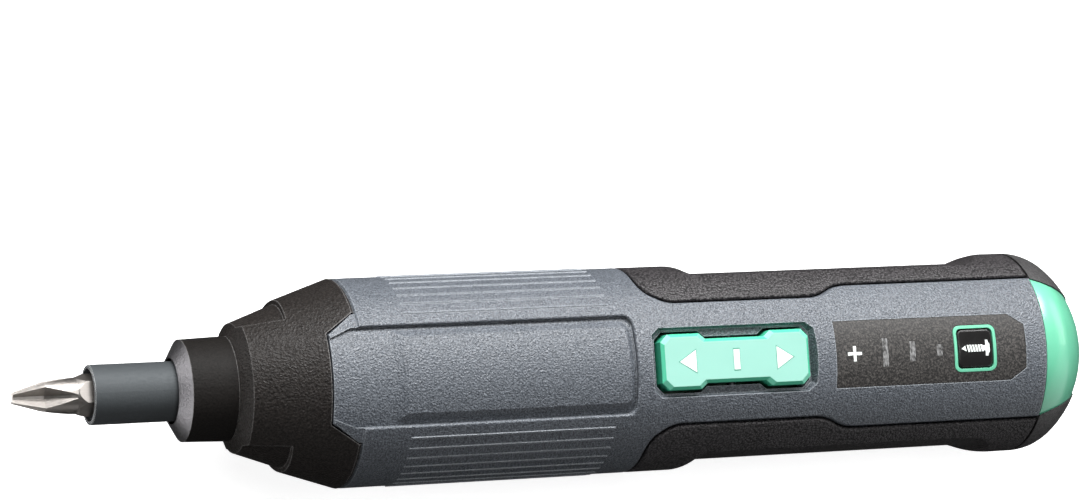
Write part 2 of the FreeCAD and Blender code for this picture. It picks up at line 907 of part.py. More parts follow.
def plain_sleeve(body, side):
    """The back of the barrel and handle, with its grip beds."""
    edge = d.body_radius - d.seam_edge
    skin = [
        (barrel_front, barrel_bore), (barrel_front, edge), (barrel_front + d.seam_edge, d.body_radius),
        (tail_front - d.seam_edge, d.body_radius), (tail_front, edge), (tail_front, grip_floor),
        (handle_front, grip_floor), (handle_front, barrel_bore),
    ]
    core = [
        (handle_front - d.overrun, handle_bore), (handle_front - d.overrun, grip_floor),
        (tail_front, grip_floor), (tail_front, handle_bore),
    ]
    reach = d.body_radius + d.overrun
    turn(body, "skin", "XY_Plane", [skin], 180.0, side)
    pad(body, "grip_beds", "XY_Plane", both_sides(grip_bed_outline()), reach, toward=side, cut=True)
    turn(body, "core", "XY_Plane", [core], 180.0, side)


def front_lip(body, side):
    """Half of the ring that the nose slides over."""
    lip = box(barrel_front - d.lip_reach, barrel_front + d.overrun,
              barrel_bore, barrel_bore + d.lip_wall)
    turn(body, "lip", "XY_Plane", [lip], 180.0, side)


def motor_ribs(body, side):
    first = motor_front + d.motor_rib_start
    rib = box(first, first + d.motor_rib_width, motor_radius + d.running_gap,
              barrel_bore + d.overrun)
    ring = turn(body, "motor_rib", "XY_Plane", [rib], 180.0, side)
    last = bell_front - d.motor_rib_end
    row_copies(body, "motor_ribs", ring, last - first, 2)


def grip_ribs(body, first_angle):
    """Fine lengthwise ribs on both flanks of the barrel."""
    half = d.rib_width / 2
    foot = d.body_radius - d.rib_height
    bar = [(-half, foot), (half, foot), (half / 2, d.body_radius + d.rib_height),
           (-(half / 2), d.body_radius + d.rib_height)]
    length = d.barrel_length - d.rib_start - d.rib_end
    spread = d.rib_step_angle * (RIBS - 1)
    for side, name in ((1, "left"), (-1, "right")):
        angle = first_angle if side > 0 else -first_angle - spread
        rib = pad(body, f"{name}_rib", "YZ_Plane", [bar], length,
                  start=barrel_front + d.rib_start, turn=angle)
        polar_copies(body, f"{name}_ribs", rib, RIBS, spread)


def round_strip(body, side):
    """Round the edges of the strip beside the grips."""
    def wanted(station, offset, height, radius):
        return (at(d.body_radius, radius) and above(0, height * side) and above(handle_front, station)
                and above(strip_front_half, abs(offset)))
    round_edges(body, "strip_rounding", d.strip_edge, wanted)


def round_channel(body):
    """Round the rim of the finger channel and the top of its pad."""
    def rim(station, offset, height, radius):
        return (at(d.body_radius, radius) and above(0, height) and above(barrel_front, station)
                and below(handle_front - d.channel_end, station) and below(channel_half, abs(offset)))

    def crown(station, offset, height, radius):
        return (at(pad_radius, radius) and above(0, height) and below(pad_end, station)
                and below(channel_half, abs(offset)))
    round_edges(body, "channel_rounding", d.channel_edge, rim)
    round_edges(body, "pad_rounding", d.pad_edge, crown)


def screw_bosses(body, side):
    """Four posts that meet at the parting plane and end in the skin."""
    wide = screw_offset + d.boss_radius
    foot = root(d.body_radius * d.body_radius - wide * wide) - d.boss_skin
    pad(body, "bosses", "XY_Plane", screw_circles(d.boss_radius), foot, toward=side)


def screw_circles(radius):
    return [(station, y, radius) for station in screw_stations
            for y in (screw_offset, -screw_offset)]


def front_shell():
    body = new_body("front_shell")
    shell_sleeve(body, 1)
    front_lip(body, 1)
    motor_ribs(body, 1)
    screw_bosses(body, 1)
    pad(body, "screw_pilots", "XY_Plane", screw_circles(d.screw_radius + d.bond_gap),
        d.screw_grip + d.overrun, toward=1, cut=True)
    side = board_half - d.rail_edge
    rails = both_sides(box(board_front + d.rail_inset, board_end - d.rail_inset,
                           side - d.rail_width, side))
    pad(body, "rails", "XY_Plane", rails, d.rail_height, start=board_top)
    reach = d.body_radius + d.overrun
    pad(body, "window", "XY_Plane", [rocker_outline(d.rocker_gap)], reach, toward=1, cut=True)
    bevel = body.newObject("PartDesign::SubtractiveLoft", "window_bevel")
    bed = d.rocker_gap + d.rocker_bed_rim
    low = new_sketch(body, "bevel_low", "XY_Plane", [window_outline(bed)],
                     start=d.body_radius - d.window_bevel * 2)
    high = new_sketch(body, "bevel_high", "XY_Plane", [window_outline(bed + d.window_bevel)],
                      start=d.body_radius + d.window_bevel / 2)
    bevel.Profile = low
    bevel.Sections = [high]
    body.Tip = bevel
    pin_hole = (pivot_station, pivot_height, d.pivot_radius + d.bond_gap)
    pad(body, "pivot_hole", "XZ_Plane", [pin_hole], (d.pivot_half + d.bond_gap) * 2, both=True, cut=True)
    holes = light_outlines(d.bond_gap) + [frame_outline(d.bond_gap)]
    pad(body, "control_holes", "XY_Plane", holes, reach, toward=1, cut=True)
    round_strip(body, 1)
    round_channel(body)
    grip_ribs(body, d.rib_first_angle)


def rear_shell():
    body = new_body("rear_shell")
    plain_sleeve(body, -1)
    front_lip(body, -1)
    motor_ribs(body, -1)
    screw_bosses(body, -1)
    pad(body, "screw_holes", "XY_Plane", screw_circles(d.screw_radius + d.bond_gap),
        d.body_radius, toward=-1, cut=True)
    pad(body, "screw_seats", "XY_Plane", screw_circles(d.screw_head_radius + d.bond_gap),
        d.body_radius, start=-screw_seat, toward=-1, cut=True)
    cradle(body)
    round_strip(body, -1)
    cut_land(body, barrel_front - d.lip_reach - d.overrun, tail_front + d.overrun)
    grip_ribs(body, d.rib_first_angle + d.rib_step_angle * RIBS)


def cradle(body):
    """Ribs across the handle that the cell lies in."""
    wide = handle_bore + d.bond_gap
    top = -d.cell_drop - d.cradle_top
    side = root(wide * wide - top * top)
    bed = cell_radius + d.bond_gap
    inner = root(bed * bed - d.cradle_top * d.cradle_top)
    rib = [(-side, top, wide), (side, top), (inner, top, -bed), (-inner, top)]
    first = pad(body, "cradle", "YZ_Plane", [rib], d.cradle_width, start=cell_front + d.cradle_start)
    last = cell_end - d.cradle_end - d.cradle_width
    row_copies(body, "cradles", first, last - cell_front - d.cradle_start, 3)


def nose_cone():
    body = new_body("nose_cone")
    rim = nose_front + d.rim_setback
    scoop_end = rim + d.scoop_length
    scoop_front = rim_radius - d.scoop_front_depth
    scoop_rear = cone_radius(scoop_end) - d.scoop_rear_depth
    back_core = barrel_bore + d.lip_wall + d.seam_gap + d.nose_skin
    sleeve = [
        (rim, scoop_front), (cone_start, rim_radius),
        (barrel_front - d.cone_land, d.body_radius), (barrel_front, d.body_radius - d.seam_edge),
        (barrel_front, back_core), (scoop_end, scoop_rear),
    ]
    turn(body, "cone", "XZ_Plane", [sleeve])
    outside = d.body_radius + d.overrun
    scoop = [
        (nose_front, outside), (nose_front, d.scoop_half), (scoop_end, d.scoop_half + d.scoop_spread),
        (scoop_end + d.scoop_step, outside),
    ]
    pad(body, "scoops", "XY_Plane", both_sides(scoop), outside * 2, both=True, cut=True)
    spigot = nose_front + d.spigot_length
    step = barrel_front - d.lip_reach - d.seam_gap
    core = [
        (nose_front, d.spigot_radius + d.bond_gap), (nose_front, d.nose_mouth),
        (rim, scoop_front), (scoop_end, scoop_rear), (barrel_front, back_core),
        (barrel_front, barrel_bore + d.lip_wall + d.bond_gap),
        (step, barrel_bore + d.lip_wall + d.bond_gap), (step, case_radius + d.bond_gap),
        (case_front, case_radius + d.bond_gap), (case_front, case_radius - d.case_seat),
        (spigot, d.nose_bore_front), (spigot, d.spigot_radius + d.bond_gap),
    ]
    turn(body, "core", "XZ_Plane", [core])
    notch = notch_outline(0)
    pad(body, "notch", "XY_Plane", [notch], outside, toward=1, cut=True)
    cut_land(body, nose_front, barrel_front + d.overrun)


def nose_collar():
    body = new_body("nose_collar")
    spigot = nose_front + d.spigot_length
    ring = [
        (collar_front, d.spindle_radius + d.collar_gap), (collar_front, d.collar_mouth),
        (collar_front + d.collar_chamfer, d.collar_front_radius), (nose_front, d.collar_rear_radius),
        (nose_front, d.spigot_radius), (spigot, d.spigot_radius), (spigot, d.bush_radius + d.bond_gap),
        (collar_front + d.collar_lip, d.bush_radius + d.bond_gap),
        (collar_front + d.collar_lip, d.spindle_radius + d.collar_gap),
    ]
    turn(body, "ring", "XZ_Plane", [ring])


def spindle_bush():
    body = new_body("spindle_bush")
    sleeve = box(collar_front + d.collar_lip, nose_front + d.spigot_length,
                 d.spindle_radius + d.running_gap, d.bush_radius)
    turn(body, "sleeve", "XZ_Plane", [sleeve])


def waist_cut(body):
    """Draw the grip in along its length with a shallow crown and S-shaped ends."""
    top = d.body_radius
    rise = d.body_radius - waist_half
    first = handle_front + d.flare_front
    low = first + d.flare_front_ramp
    last = tail_front - d.flare_rear
    high = last - d.flare_rear_ramp
    short = (d.flare_front_ramp * d.flare_front_ramp + rise * rise) / (rise * 4)
    long = (d.flare_rear_ramp * d.flare_rear_ramp + rise * rise) / (rise * 4)
    middle = waist_half + rise / 2
    profile = [
        (first, top, -short), (first + d.flare_front_ramp / 2, middle, short), (low, waist_half),
        (high, waist_half, long), (high + d.flare_rear_ramp / 2, middle, -long), (last, top),
        (last, top + d.overrun), (first, top + d.overrun),
    ]
    level = waist_half - d.waist_crown
    turn(body, "waist", "XY_Plane", [profile], d.waist_angle, cut=True, both=True,
         axis_line=((first, level), (last, level)))


def grips():
    body = new_body("right_grip")
    outside = d.body_radius + d.overrun
    pad(body, "block", "XY_Plane", [grip_outline(d.seam_gap)], outside * 2, both=True)
    first, last = handle_front - d.overrun, tail_front + d.overrun
    turn(body, "inside", "XZ_Plane", [box(first, last, 0, grip_floor + d.bond_gap)], cut=True)
    turn(body, "outside", "XZ_Plane", [box(first, last, d.body_radius, outside * 2)], cut=True)
    waist_cut(body)

    def rim(station, offset, height, radius):
        return at(d.body_radius, radius) and (below(strip_rear_half + d.seam_gap, offset)
                                              or below(handle_front + d.grip_slant_length, station)
                                              or above(tail_front - d.seam_gap, station))
    round_edges(body, "rounding", d.grip_edge, rim)
    twin = doc.addObject("Part::Mirroring", "left_grip")
    twin.Label = "left_grip"
    twin.Source = body
    twin.Normal = FreeCAD.Vector(0, 1, 0)
    NODES.append(twin)


def tail_cap():
    """Dark tail with two side wedges and a bed for the band, plugged into the shells."""
    body = new_body("tail_cap")
    outside = d.body_radius + d.overrun
    turn(body, "wedges", "XZ_Plane", [dome_shell(0, d.band_depth)])
    pad(body, "band_bed", "XY_Plane", [band_plan()], outside * 2, both=True, cut=True)
    turn(body, "core", "XZ_Plane", [dome_shell(d.band_depth, d.band_depth + d.tail_wall)])
    outer = handle_bore - d.bond_gap
    inner = outer - d.tail_spigot_wall
    flange = d.body_radius - d.band_depth - d.tail_wall / 2
    first, last = tail_front - d.tail_spigot_length, tail_front + d.tail_wall
    spigot = [(first, inner), (first, outer), (tail_front, outer), (tail_front, flange),
              (last, flange), (last, inner)]
    turn(body, "spigot", "XZ_Plane", [spigot])
    port_slot(body)


def tail_band():
    body = new_body("tail_band")
    outside = d.body_radius + d.overrun
    turn(body, "dome", "XZ_Plane", [dome_shell(d.band_sink, d.band_depth - d.bond_gap)])
    pad(body, "sides", "XY_Plane", both_sides(band_edge(-d.bond_gap)), outside * 2, both=True, cut=True)
    port_slot(body)
    cut_land(body, tail_front - d.overrun, tail_end)


def port_outline(grow):
    """The flat oval of the charging port."""
    high = d.port_height / 2 + grow
    wide = d.port_half + grow
    return rounded_box(-wide, wide, -high, high, d.port_corner + grow)


def port_slot(body):
    pad(body, "port_slot", "YZ_Plane", [port_outline(d.port_gap)], d.tail_length,
        start=tail_end - d.port_sink - d.port_length, toward=1, cut=True)


def charge_port():
    body = new_body("charge_port")
    mouth = tail_end - d.port_sink
    back = mouth - d.port_length
    pad(body, "can", "YZ_Plane", [port_outline(0)], d.port_length, start=back)
    pad(body, "hollow", "YZ_Plane", [port_outline(-d.port_wall)], d.port_length, start=back + d.port_wall * 2,
        cut=True, toward=1)
    half = d.port_tongue_thickness / 2
    tongue = box(-d.port_tongue_half, d.port_tongue_half, -half, half)
    pad(body, "tongue", "YZ_Plane", [tongue], d.port_tongue_length, start=back + d.port_wall)


def charge_board():
    body = new_body("charge_board")
    last = tail_end - d.charge_board_end
    half = screw_offset - d.boss_radius - d.charge_board_side_gap
    plate = box(tail_front - d.charge_board_reach, last, -half, half)
    pad(body, "plate", "XY_Plane", [plate], d.charge_board_thickness, start=-d.port_height / 2, toward=-1)


# Drive train.

def hex_outline(gap):
    """A hexagon across its flats, turned a little from upright, grown by gap."""
    corner = (d.hex_flats / 2 + gap) * (2 / math.sqrt(3))
    loop = []
    for index in range(6):
        angle = d.hex_turn_angle + (30.0 + 60.0 * index)
        loop.append((corner * sine(angle), corner * cosine(angle)))
    return loop


def spindle():
    """Output carrier, shaft and bit socket in one piece."""
    body = new_body("spindle")
    groove = nose_front + d.spigot_length + d.clip_setback - d.bond_gap
    groove_end = groove + d.clip_width + d.bond_gap * 2
    edge = d.mouth_edge
    mouth = d.spindle_radius - d.mouth_rim
    shaft = [
        (chuck_face + d.mouth_depth, 0), (chuck_face + d.mouth_depth, mouth), (chuck_face, mouth),
        (chuck_face, d.spindle_radius - edge), (chuck_face + edge, d.spindle_radius),
        (groove, d.spindle_radius), (groove, d.clip_groove_radius), (groove_end, d.clip_groove_radius),
        (groove_end, d.spindle_radius), (slow_carrier, d.spindle_radius),
        (slow_carrier, carrier_radius), (slow_carrier + d.carrier_thickness, carrier_radius),
        (slow_carrier + d.carrier_thickness, 0),
    ]
    turn(body, "shaft", "XZ_Plane", [shaft])
    pad(body, "socket", "YZ_Plane", [hex_outline(d.hex_gap)], socket_depth, start=chuck_face,
        toward=1, cut=True)
    magnet_depth = d.magnet_length + d.bond_gap
    pad(body, "magnet_bore", "YZ_Plane", [(0, 0, d.magnet_radius + d.bond_gap)], magnet_depth,
        start=chuck_face + socket_depth, toward=1, cut=True)
    pin = pad(body, "pin", "YZ_Plane", [(0, orbit_radius, d.planet_pin_radius)],
              d.planet_width + d.axial_gap, start=slow_carrier + d.carrier_thickness)
    polar_copies(body, "pins", pin, PLANETS)


def bit_magnet():
    body = new_body("bit_magnet")
    first = chuck_face + socket_depth
    turn(body, "disc", "XZ_Plane", [box(first, first + d.magnet_length, 0, d.magnet_radius)])


def retaining_ring():
    body = new_body("retaining_ring")
    first = nose_front + d.spigot_length + d.clip_setback
    ring = box(first, first + d.clip_width, d.clip_groove_radius + d.bond_gap, d.clip_radius)
    turn(body, "ring", "XZ_Plane", [ring])


def thrust_washer():
    body = new_body("thrust_washer")
    ring = box(case_inside, case_inside + d.washer_thickness, d.spindle_radius + d.seam_gap,
               carrier_radius - d.washer_inset)
    turn(body, "ring", "XZ_Plane", [ring])


def screwdriver_bit():
    body = new_body("screwdriver_bit")
    hex_corner = d.hex_flats / math.sqrt(3)
    pad(body, "shank", "YZ_Plane", [hex_outline(0)], d.bit_length)
    outside = hex_corner + d.overrun
    bevel = d.spindle_chamfer
    waste = [
        (-d.overrun, d.bit_tip_radius), (0, d.bit_tip_radius), (d.bit_cone_length, d.bit_cone_radius),
        (d.bit_neck_length, d.bit_neck_radius), (d.bit_shoulder_length, hex_corner),
        (d.bit_length - bevel, hex_corner), (d.bit_length, hex_corner - bevel),
        (d.bit_length + d.overrun, hex_corner - bevel), (d.bit_length + d.overrun, outside),
        (-d.overrun, outside),
    ]
    turn(body, "turned", "XZ_Plane", [waste], cut=True)
    sections = []
    for station, floor in ((-d.overrun, d.flute_tip_floor), (d.bit_cone_length, d.flute_middle_floor),
                           (d.bit_neck_length, d.bit_neck_radius)):
        half = d.flute_floor_half
        wide = half + (outside - floor) * tangent(d.flute_wall_angle)
        loop = [(-half, floor), (half, floor), (wide, outside), (-wide, outside)]
        sections.append(new_sketch(body, f"flute_{len(sections) + 1}", "YZ_Plane", [loop], start=station,
                                   turn=d.flute_turn_angle))
    flute = body.newObject("PartDesign::SubtractiveLoft", "flute")
    flute.Profile = sections[0]
    flute.Sections = sections[1:]
    flute.Ruled = True
    body.Tip = flute
    polar_copies(body, "flutes", flute, FLUTES)


def tooth_outline(teeth, tip, foot, backlash, station, first_angle, orbit_angle):
    """A gear's outline at a station: involute flanks between a foot and a tip radius.

    An orbit angle sets the gear on the planets' circle, turned with its place.
    """
    pitch = number(gear_module) * teeth / 2
    base = pitch * math.cos(PRESSURE_ANGLE)
    involute = math.tan(PRESSURE_ANGLE) - PRESSURE_ANGLE
    half_pitch = math.pi / (2 * teeth) - backlash / (2 * pitch)

    def half_angle(radius):
        lean = math.acos(min(base / radius, 1.0))
        return half_pitch + involute - (math.tan(lean) - lean)

    centre = FreeCAD.Vector(number(station), 0, 0)
    start = first_angle
    if orbit_angle is not None:
        centre += on_orbit(orbit_angle)
        start += orbit_angle
    rising = [foot, (max(foot, base) + tip) / 2, tip]
    points = []
    for tooth in range(teeth):
        middle = start + 2 * math.pi * tooth / teeth
        flanks = [(radius, middle - half_angle(radius)) for radius in rising]
        flanks += [(radius, middle + half_angle(radius)) for radius in reversed(rising)]
        points += [centre + across(radius, angle) for radius, angle in flanks]
    return Part.makePolygon(points + points[:1])


def across(radius, angle):
    """A step from the axis, at an angle turned from straight up."""
    return FreeCAD.Vector(0, -radius * math.sin(angle), radius * math.cos(angle))


def on_orbit(angle):
    return across(number(orbit_radius), angle)


def planet_angles():
    return [2 * math.pi * index / PLANETS for index in range(PLANETS)]


def gear_solid(teeth, station, width, first_angle=0.0, internal=False, orbit_angle=None):
    """A toothed bar along X; an internal one is the space inside a ring gear."""
    module = number(gear_module)
    pitch = module * teeth / 2
    outward, inward = ADDENDUM_SHARE * module, DEDENDUM_SHARE * module
    if internal:
        outward, inward = inward, outward
    slack = number(d.gear_backlash) / (-2 if internal else 2)
    wire = tooth_outline(teeth, pitch + outward, pitch - inward, slack, station, first_angle, orbit_angle)
    return Part.Face(wire).extrude(FreeCAD.Vector(number(width), 0, 0))


def bar(station, length, radius, orbit_angle=None):
    """A round bar along X, on the axis or on the planets' circle."""
    foot = FreeCAD.Vector(number(station), 0, 0)
    if orbit_angle is not None:
        foot += on_orbit(orbit_angle)
    return Part.makeCylinder(number(radius), number(length), foot, FreeCAD.Vector(1, 0, 0))


def planet_gears(name, station, width):
    """Three planets round the sun, each with one tooth pointing outward."""
    for index, angle in enumerate(planet_angles(), start=1):
        blank = gear_solid(PLANET_TEETH, station, width, orbit_angle=angle)
        bore = bar(station - d.overrun, width + d.overrun * 2, d.planet_pin_radius + d.running_gap, angle)
        new_solid(f"{name}_{index}", blank.cut(bore))


def sun_angle():
    """Half a tooth, so that each planet finds a space."""
    return math.pi / SUN_TEETH


def first_stage_carrier():
    """Disc with three pins behind it and the second sun in front."""
    disc = bar(fast_carrier, d.carrier_thickness, carrier_radius)
    sun = gear_solid(SUN_TEETH, slow_planets + d.axial_gap / 2, d.planet_width + d.axial_gap, sun_angle())
    pins = [bar(fast_carrier + d.carrier_thickness / 2,
                d.carrier_thickness / 2 + d.axial_gap + d.fast_planet_width,
                d.planet_pin_radius, angle) for angle in planet_angles()]
    new_solid("first_stage_carrier", disc.multiFuse([sun] + pins).removeSplitter())


def motor_shaft():
    pinion = gear_solid(SUN_TEETH, fast_planets + d.axial_gap / 2, d.fast_planet_width, sun_angle())
    shaft = bar(fast_planets + d.axial_gap / 2, bell_end - fast_planets - d.bell_length / 2,
                d.motor_shaft_radius)
    new_solid("motor_shaft", pinion.fuse(shaft).removeSplitter())


def gear_case():
    """Cup with the fixed ring gear cut into its bore."""
    pitch_radius = gear_module * (RING_TEETH / 2)
    root_radius = pitch_radius + gear_module * DEDENDUM_SHARE
    case = bar(case_front, plate_front - case_front, case_radius)
    case = case.cut(bar(case_front - d.overrun, d.case_wall + d.overrun * 2,
                        d.spindle_radius + d.running_gap))
    case = case.cut(bar(case_inside, slow_planets - case_inside, root_radius))
    teeth = gear_solid(RING_TEETH, slow_planets, plate_front - slow_planets + d.overrun, internal=True)
    new_solid("gear_case", case.cut(teeth))


def motor_plate():
    body = new_body("motor_plate")
    turn(body, "disc", "XZ_Plane", [box(plate_front, motor_front, d.plate_bore, case_radius)])


def motor_can():
    body = new_body("motor_can")
    bore = d.motor_shaft_radius + d.running_gap
    boss = motor_front - d.plate_thickness
    can = [(boss, bore), (boss, d.motor_boss_radius), (motor_front, d.motor_boss_radius),
           (motor_front, motor_radius), (bell_front, motor_radius), (bell_front, bore)]
    turn(body, "can", "XZ_Plane", [can])


def motor_end_bell():
    body = new_body("motor_end_bell")
    c = d.bell_length / 4
    cap = [(bell_front, d.motor_shaft_radius + d.running_gap), (bell_front, bell_radius),
           (bell_end - c, bell_radius), (bell_end, bell_radius - c), (bell_end, 0),
           (bell_end - c, 0), (bell_end - c, d.motor_shaft_radius + d.running_gap)]
    turn(body, "cap", "XZ_Plane", [cap])
    half = d.terminal_width / 2
    middle = bell_radius - d.terminal_inset
    tag = box(middle - half, middle + half,
              -d.terminal_thickness / 2, d.terminal_thickness / 2)
    tags = [tag, [(-y, z) for y, z in tag]]
    pad(body, "terminals", "YZ_Plane", tags, d.terminal_reach + c, start=bell_end - c)


# Power and controls.

def battery_cell():
    body = new_body("battery_cell", z=-d.cell_drop)
    nub = cell_front - d.cell_nub_height + d.tab_thickness
    can = [(nub, 0), (nub, d.cell_nub_radius), (cell_front + d.tab_thickness, d.cell_nub_radius),
           (cell_front + d.tab_thickness, cell_radius), (cell_end, cell_radius), (cell_end, 0)]
    turn(body, "can", "XZ_Plane", [can])


def battery_tabs():
    body = new_body("battery_tabs", several=True)
    foot = -d.cell_drop - d.tab_drop
    first = cell_front - d.cell_nub_height
    tab = box(-d.tab_half, d.tab_half, foot, board_top)
    pad(body, "front_tab", "YZ_Plane", [tab], d.tab_thickness, start=first)
    pad(body, "rear_tab", "YZ_Plane", [tab], d.tab_thickness, start=cell_end)


def main_board():
    body = new_body("main_board")
    plate = box(board_front, board_end, -board_half, board_half)
    pad(body, "plate", "XY_Plane", [plate], d.board_thickness, start=board_height)


def switch_stations():
    return (pivot_station - d.stem_offset, pivot_station + d.stem_offset, button_station)


def tact_switches():
    body = new_body("tact_switches", several=True)
    half = d.switch_half
    bases = [box(station - half, station + half, -half, half) for station in switch_stations()]
    pad(body, "bases", "XY_Plane", bases, d.switch_height, start=board_top)
    plungers = [(station, 0, d.plunger_radius) for station in switch_stations()]
    pad(body, "plungers", "XY_Plane", plungers, d.plunger_height, start=board_top + d.switch_height)


def light_bars():
    body = new_body("light_bars", several=True)
    foot = board_top + d.led_height
    outside = d.body_radius + d.overrun
    pad(body, "bars", "XY_Plane", light_outlines(0), outside - foot, start=foot)
    trim_outside(body, d.body_radius - d.panel_sink)


def panel_leds():
    body = new_body("panel_leds", several=True)
    loops = []
    for station in light_stations():
        middle = station + d.light_width / 2
        loops.append(box(middle - d.led_half, middle + d.led_half, -d.led_half, d.led_half))
    pad(body, "chips", "XY_Plane", loops, d.led_height, start=board_top)


def trim_outside(body, radius):
    """Round a piece off to the skin of the handle."""
    waste = box(handle_front, tail_front, radius, (d.body_radius + d.overrun) * 2)
    turn(body, "trim", "XZ_Plane", [waste], cut=True)


def control_panel():
    body = new_body("control_panel")
    outside = d.body_radius + d.overrun
    pad(body, "plate", "XY_Plane", [panel_outline(0)], outside)
    trim_outside(body, d.body_radius - d.panel_sink)
    inside = box(handle_front, tail_front, 0, panel_floor + d.bond_gap)
    turn(body, "inside", "XZ_Plane", [inside], cut=True)
    holes = light_outlines(d.bond_gap) + [frame_outline(d.bond_gap)]
    pad(body, "holes", "XY_Plane", holes, outside, toward=1, cut=True)


def button_frame():
    body = new_body("button_frame")
    loops = [frame_outline(0), button_outline(d.button_gap)]
    foot = d.body_radius - d.frame_depth
    pad(body, "ring", "XY_Plane", loops, d.frame_depth + d.overrun, start=foot)
    trim_outside(body, d.body_radius)


def mode_button():
    body = new_body("mode_button")
    foot = switch_top + d.button_stem_gap
    flange = d.body_radius - d.button_flange_depth - d.button_flange_height
    pad(body, "key", "XY_Plane", [button_outline(0)], d.body_radius + d.overrun - flange,
        start=flange)
    trim_outside(body, d.body_radius - d.panel_sink)
    pad(body, "flange", "XY_Plane", [button_outline(d.button_flange)], d.button_flange_height, start=flange)
    pad(body, "stem", "XY_Plane", [(button_station, 0, d.plunger_radius)], flange - foot, start=foot)


def rocker_cap():
    """Direction rocker: a bevelled cap with two stems and a bore for its pivot."""
    body = new_body("rocker_cap")
    under = rocker_top - d.rocker_depth
    low = rocker_top - d.rocker_bevel
    pad(body, "block", "XY_Plane", [rocker_outline(0)], low - under, start=under)
    bevel = body.newObject("PartDesign::AdditiveLoft", "bevel")
    bevel.Profile = new_sketch(body, "bevel_foot", "XY_Plane", [rocker_outline(0)], start=low)
    bevel.Sections = [new_sketch(body, "bevel_top", "XY_Plane", [rocker_outline(-d.rocker_bevel)],
                                 start=rocker_top)]
    body.Tip = bevel
    stem_foot = switch_top + d.stem_gap
    stems = [(pivot_station + side * d.stem_offset, 0, d.stem_half) for side in (-1, 1)]
    pad(body, "stems", "XY_Plane", stems, under - stem_foot, start=stem_foot)
    bore = (pivot_station, pivot_height, d.pivot_radius + d.running_gap)
    pad(body, "pivot_bore", "XZ_Plane", [bore], d.body_radius, both=True, cut=True)


def rocker_pivot():
    body = new_body("rocker_pivot")
    pin = (pivot_station, pivot_height, d.pivot_radius)
    pad(body, "pin", "XZ_Plane", [pin], d.pivot_half * 2, both=True)


def housing_screws():
    body = new_body("housing_screws", several=True)
    pad(body, "heads", "XY_Plane", screw_circles(d.screw_head_radius), d.screw_head_height,
        start=-screw_seat, toward=-1)
    pad(body, "shanks", "XY_Plane", screw_circles(d.screw_radius), screw_seat + d.screw_grip,
        start=-screw_seat)


def check_document():
    """Stop on any failed object, any feature that cut nothing, and any piece that is not sound."""
    for item in doc.Objects:
        for state in item.State:
            if state in ("Invalid", "Error"):
                raise RuntimeError(f"{item.Name} failed: {item.getStatusString()}")
        if item.TypeId in ("PartDesign::Pocket", "PartDesign::Groove", "PartDesign::SubtractiveLoft"):
            removed = item.BaseFeature.Shape.Volume - item.Shape.Volume
            if removed <= 0:
                raise RuntimeError(f"{item.Name} cut nothing")
    for item in NODES:
        if item.Shape.isNull() or not item.Shape.isValid():
            raise RuntimeError(f"{item.Label} is not a sound solid")


def export_nodes():
    os.makedirs("parts", exist_ok=True)
    for item in NODES:
        item.Shape.exportStep(os.path.join("parts", item.Label + ".step"))
        print(f"{item.Label}: {len(item.Shape.Solids)} solids, {item.Shape.Volume:.1f} mm3")


front_shell()
rear_shell()
nose_cone()
nose_collar()
spindle_bush()
grips()
tail_cap()
tail_band()
charge_port()
charge_board()
spindle()
bit_magnet()
retaining_ring()
thrust_washer()
screwdriver_bit()
planet_gears("slow_planet", slow_planets, d.planet_width)
planet_gears("fast_planet", fast_planets, d.fast_planet_width)
first_stage_carrier()
motor_shaft()
gear_case()
motor_plate()
motor_can()
motor_end_bell()
battery_cell()
battery_tabs()
main_board()
tact_switches()
light_bars()
panel_leds()
control_panel()
button_frame()
mode_button()
rocker_cap()
rocker_pivot()
housing_screws()
doc.recompute()
check_document()
export_nodes()
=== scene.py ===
import json
import math
import bpy
import bmesh
from mathutils import Matrix, Vector


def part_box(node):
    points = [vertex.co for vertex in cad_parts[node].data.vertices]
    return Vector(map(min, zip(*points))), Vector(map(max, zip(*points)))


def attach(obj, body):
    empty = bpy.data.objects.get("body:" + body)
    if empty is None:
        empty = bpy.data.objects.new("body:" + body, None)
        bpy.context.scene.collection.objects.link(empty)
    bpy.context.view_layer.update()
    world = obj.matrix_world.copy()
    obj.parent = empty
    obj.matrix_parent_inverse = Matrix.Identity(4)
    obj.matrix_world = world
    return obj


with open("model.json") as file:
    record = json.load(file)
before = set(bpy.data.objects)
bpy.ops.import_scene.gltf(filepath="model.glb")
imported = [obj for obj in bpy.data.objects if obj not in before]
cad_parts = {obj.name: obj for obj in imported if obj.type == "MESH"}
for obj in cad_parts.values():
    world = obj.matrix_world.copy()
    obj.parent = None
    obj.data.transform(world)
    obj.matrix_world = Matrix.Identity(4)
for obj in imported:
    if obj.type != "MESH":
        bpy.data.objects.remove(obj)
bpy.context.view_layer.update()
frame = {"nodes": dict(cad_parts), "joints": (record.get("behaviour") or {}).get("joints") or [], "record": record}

# Lengths are in metres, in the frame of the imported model: X along the tool, Z up through the controls.
MM = 0.001

nodes = frame["nodes"]
joints = {joint["name"]: joint for joint in frame["joints"]}
slot_of = {part["node"]: part["material_slot"] for part in frame["record"]["subparts"]}

axis_height = joints["spindle_spin"]["pos_m"][2]
pivot_x = joints["rocker_tilt"]["pos_m"][0]


# Materials: each is a principled shader fed by noise in the object's own coordinates.

# Nearly all values of a noise lie between these two
noise_low, noise_high = 0.3, 0.7

# A corner shows where a rounded surface would look another way: the cosines where it starts and is full
corner_start, corner_full = 0.985, 0.87
corner_samples = 6


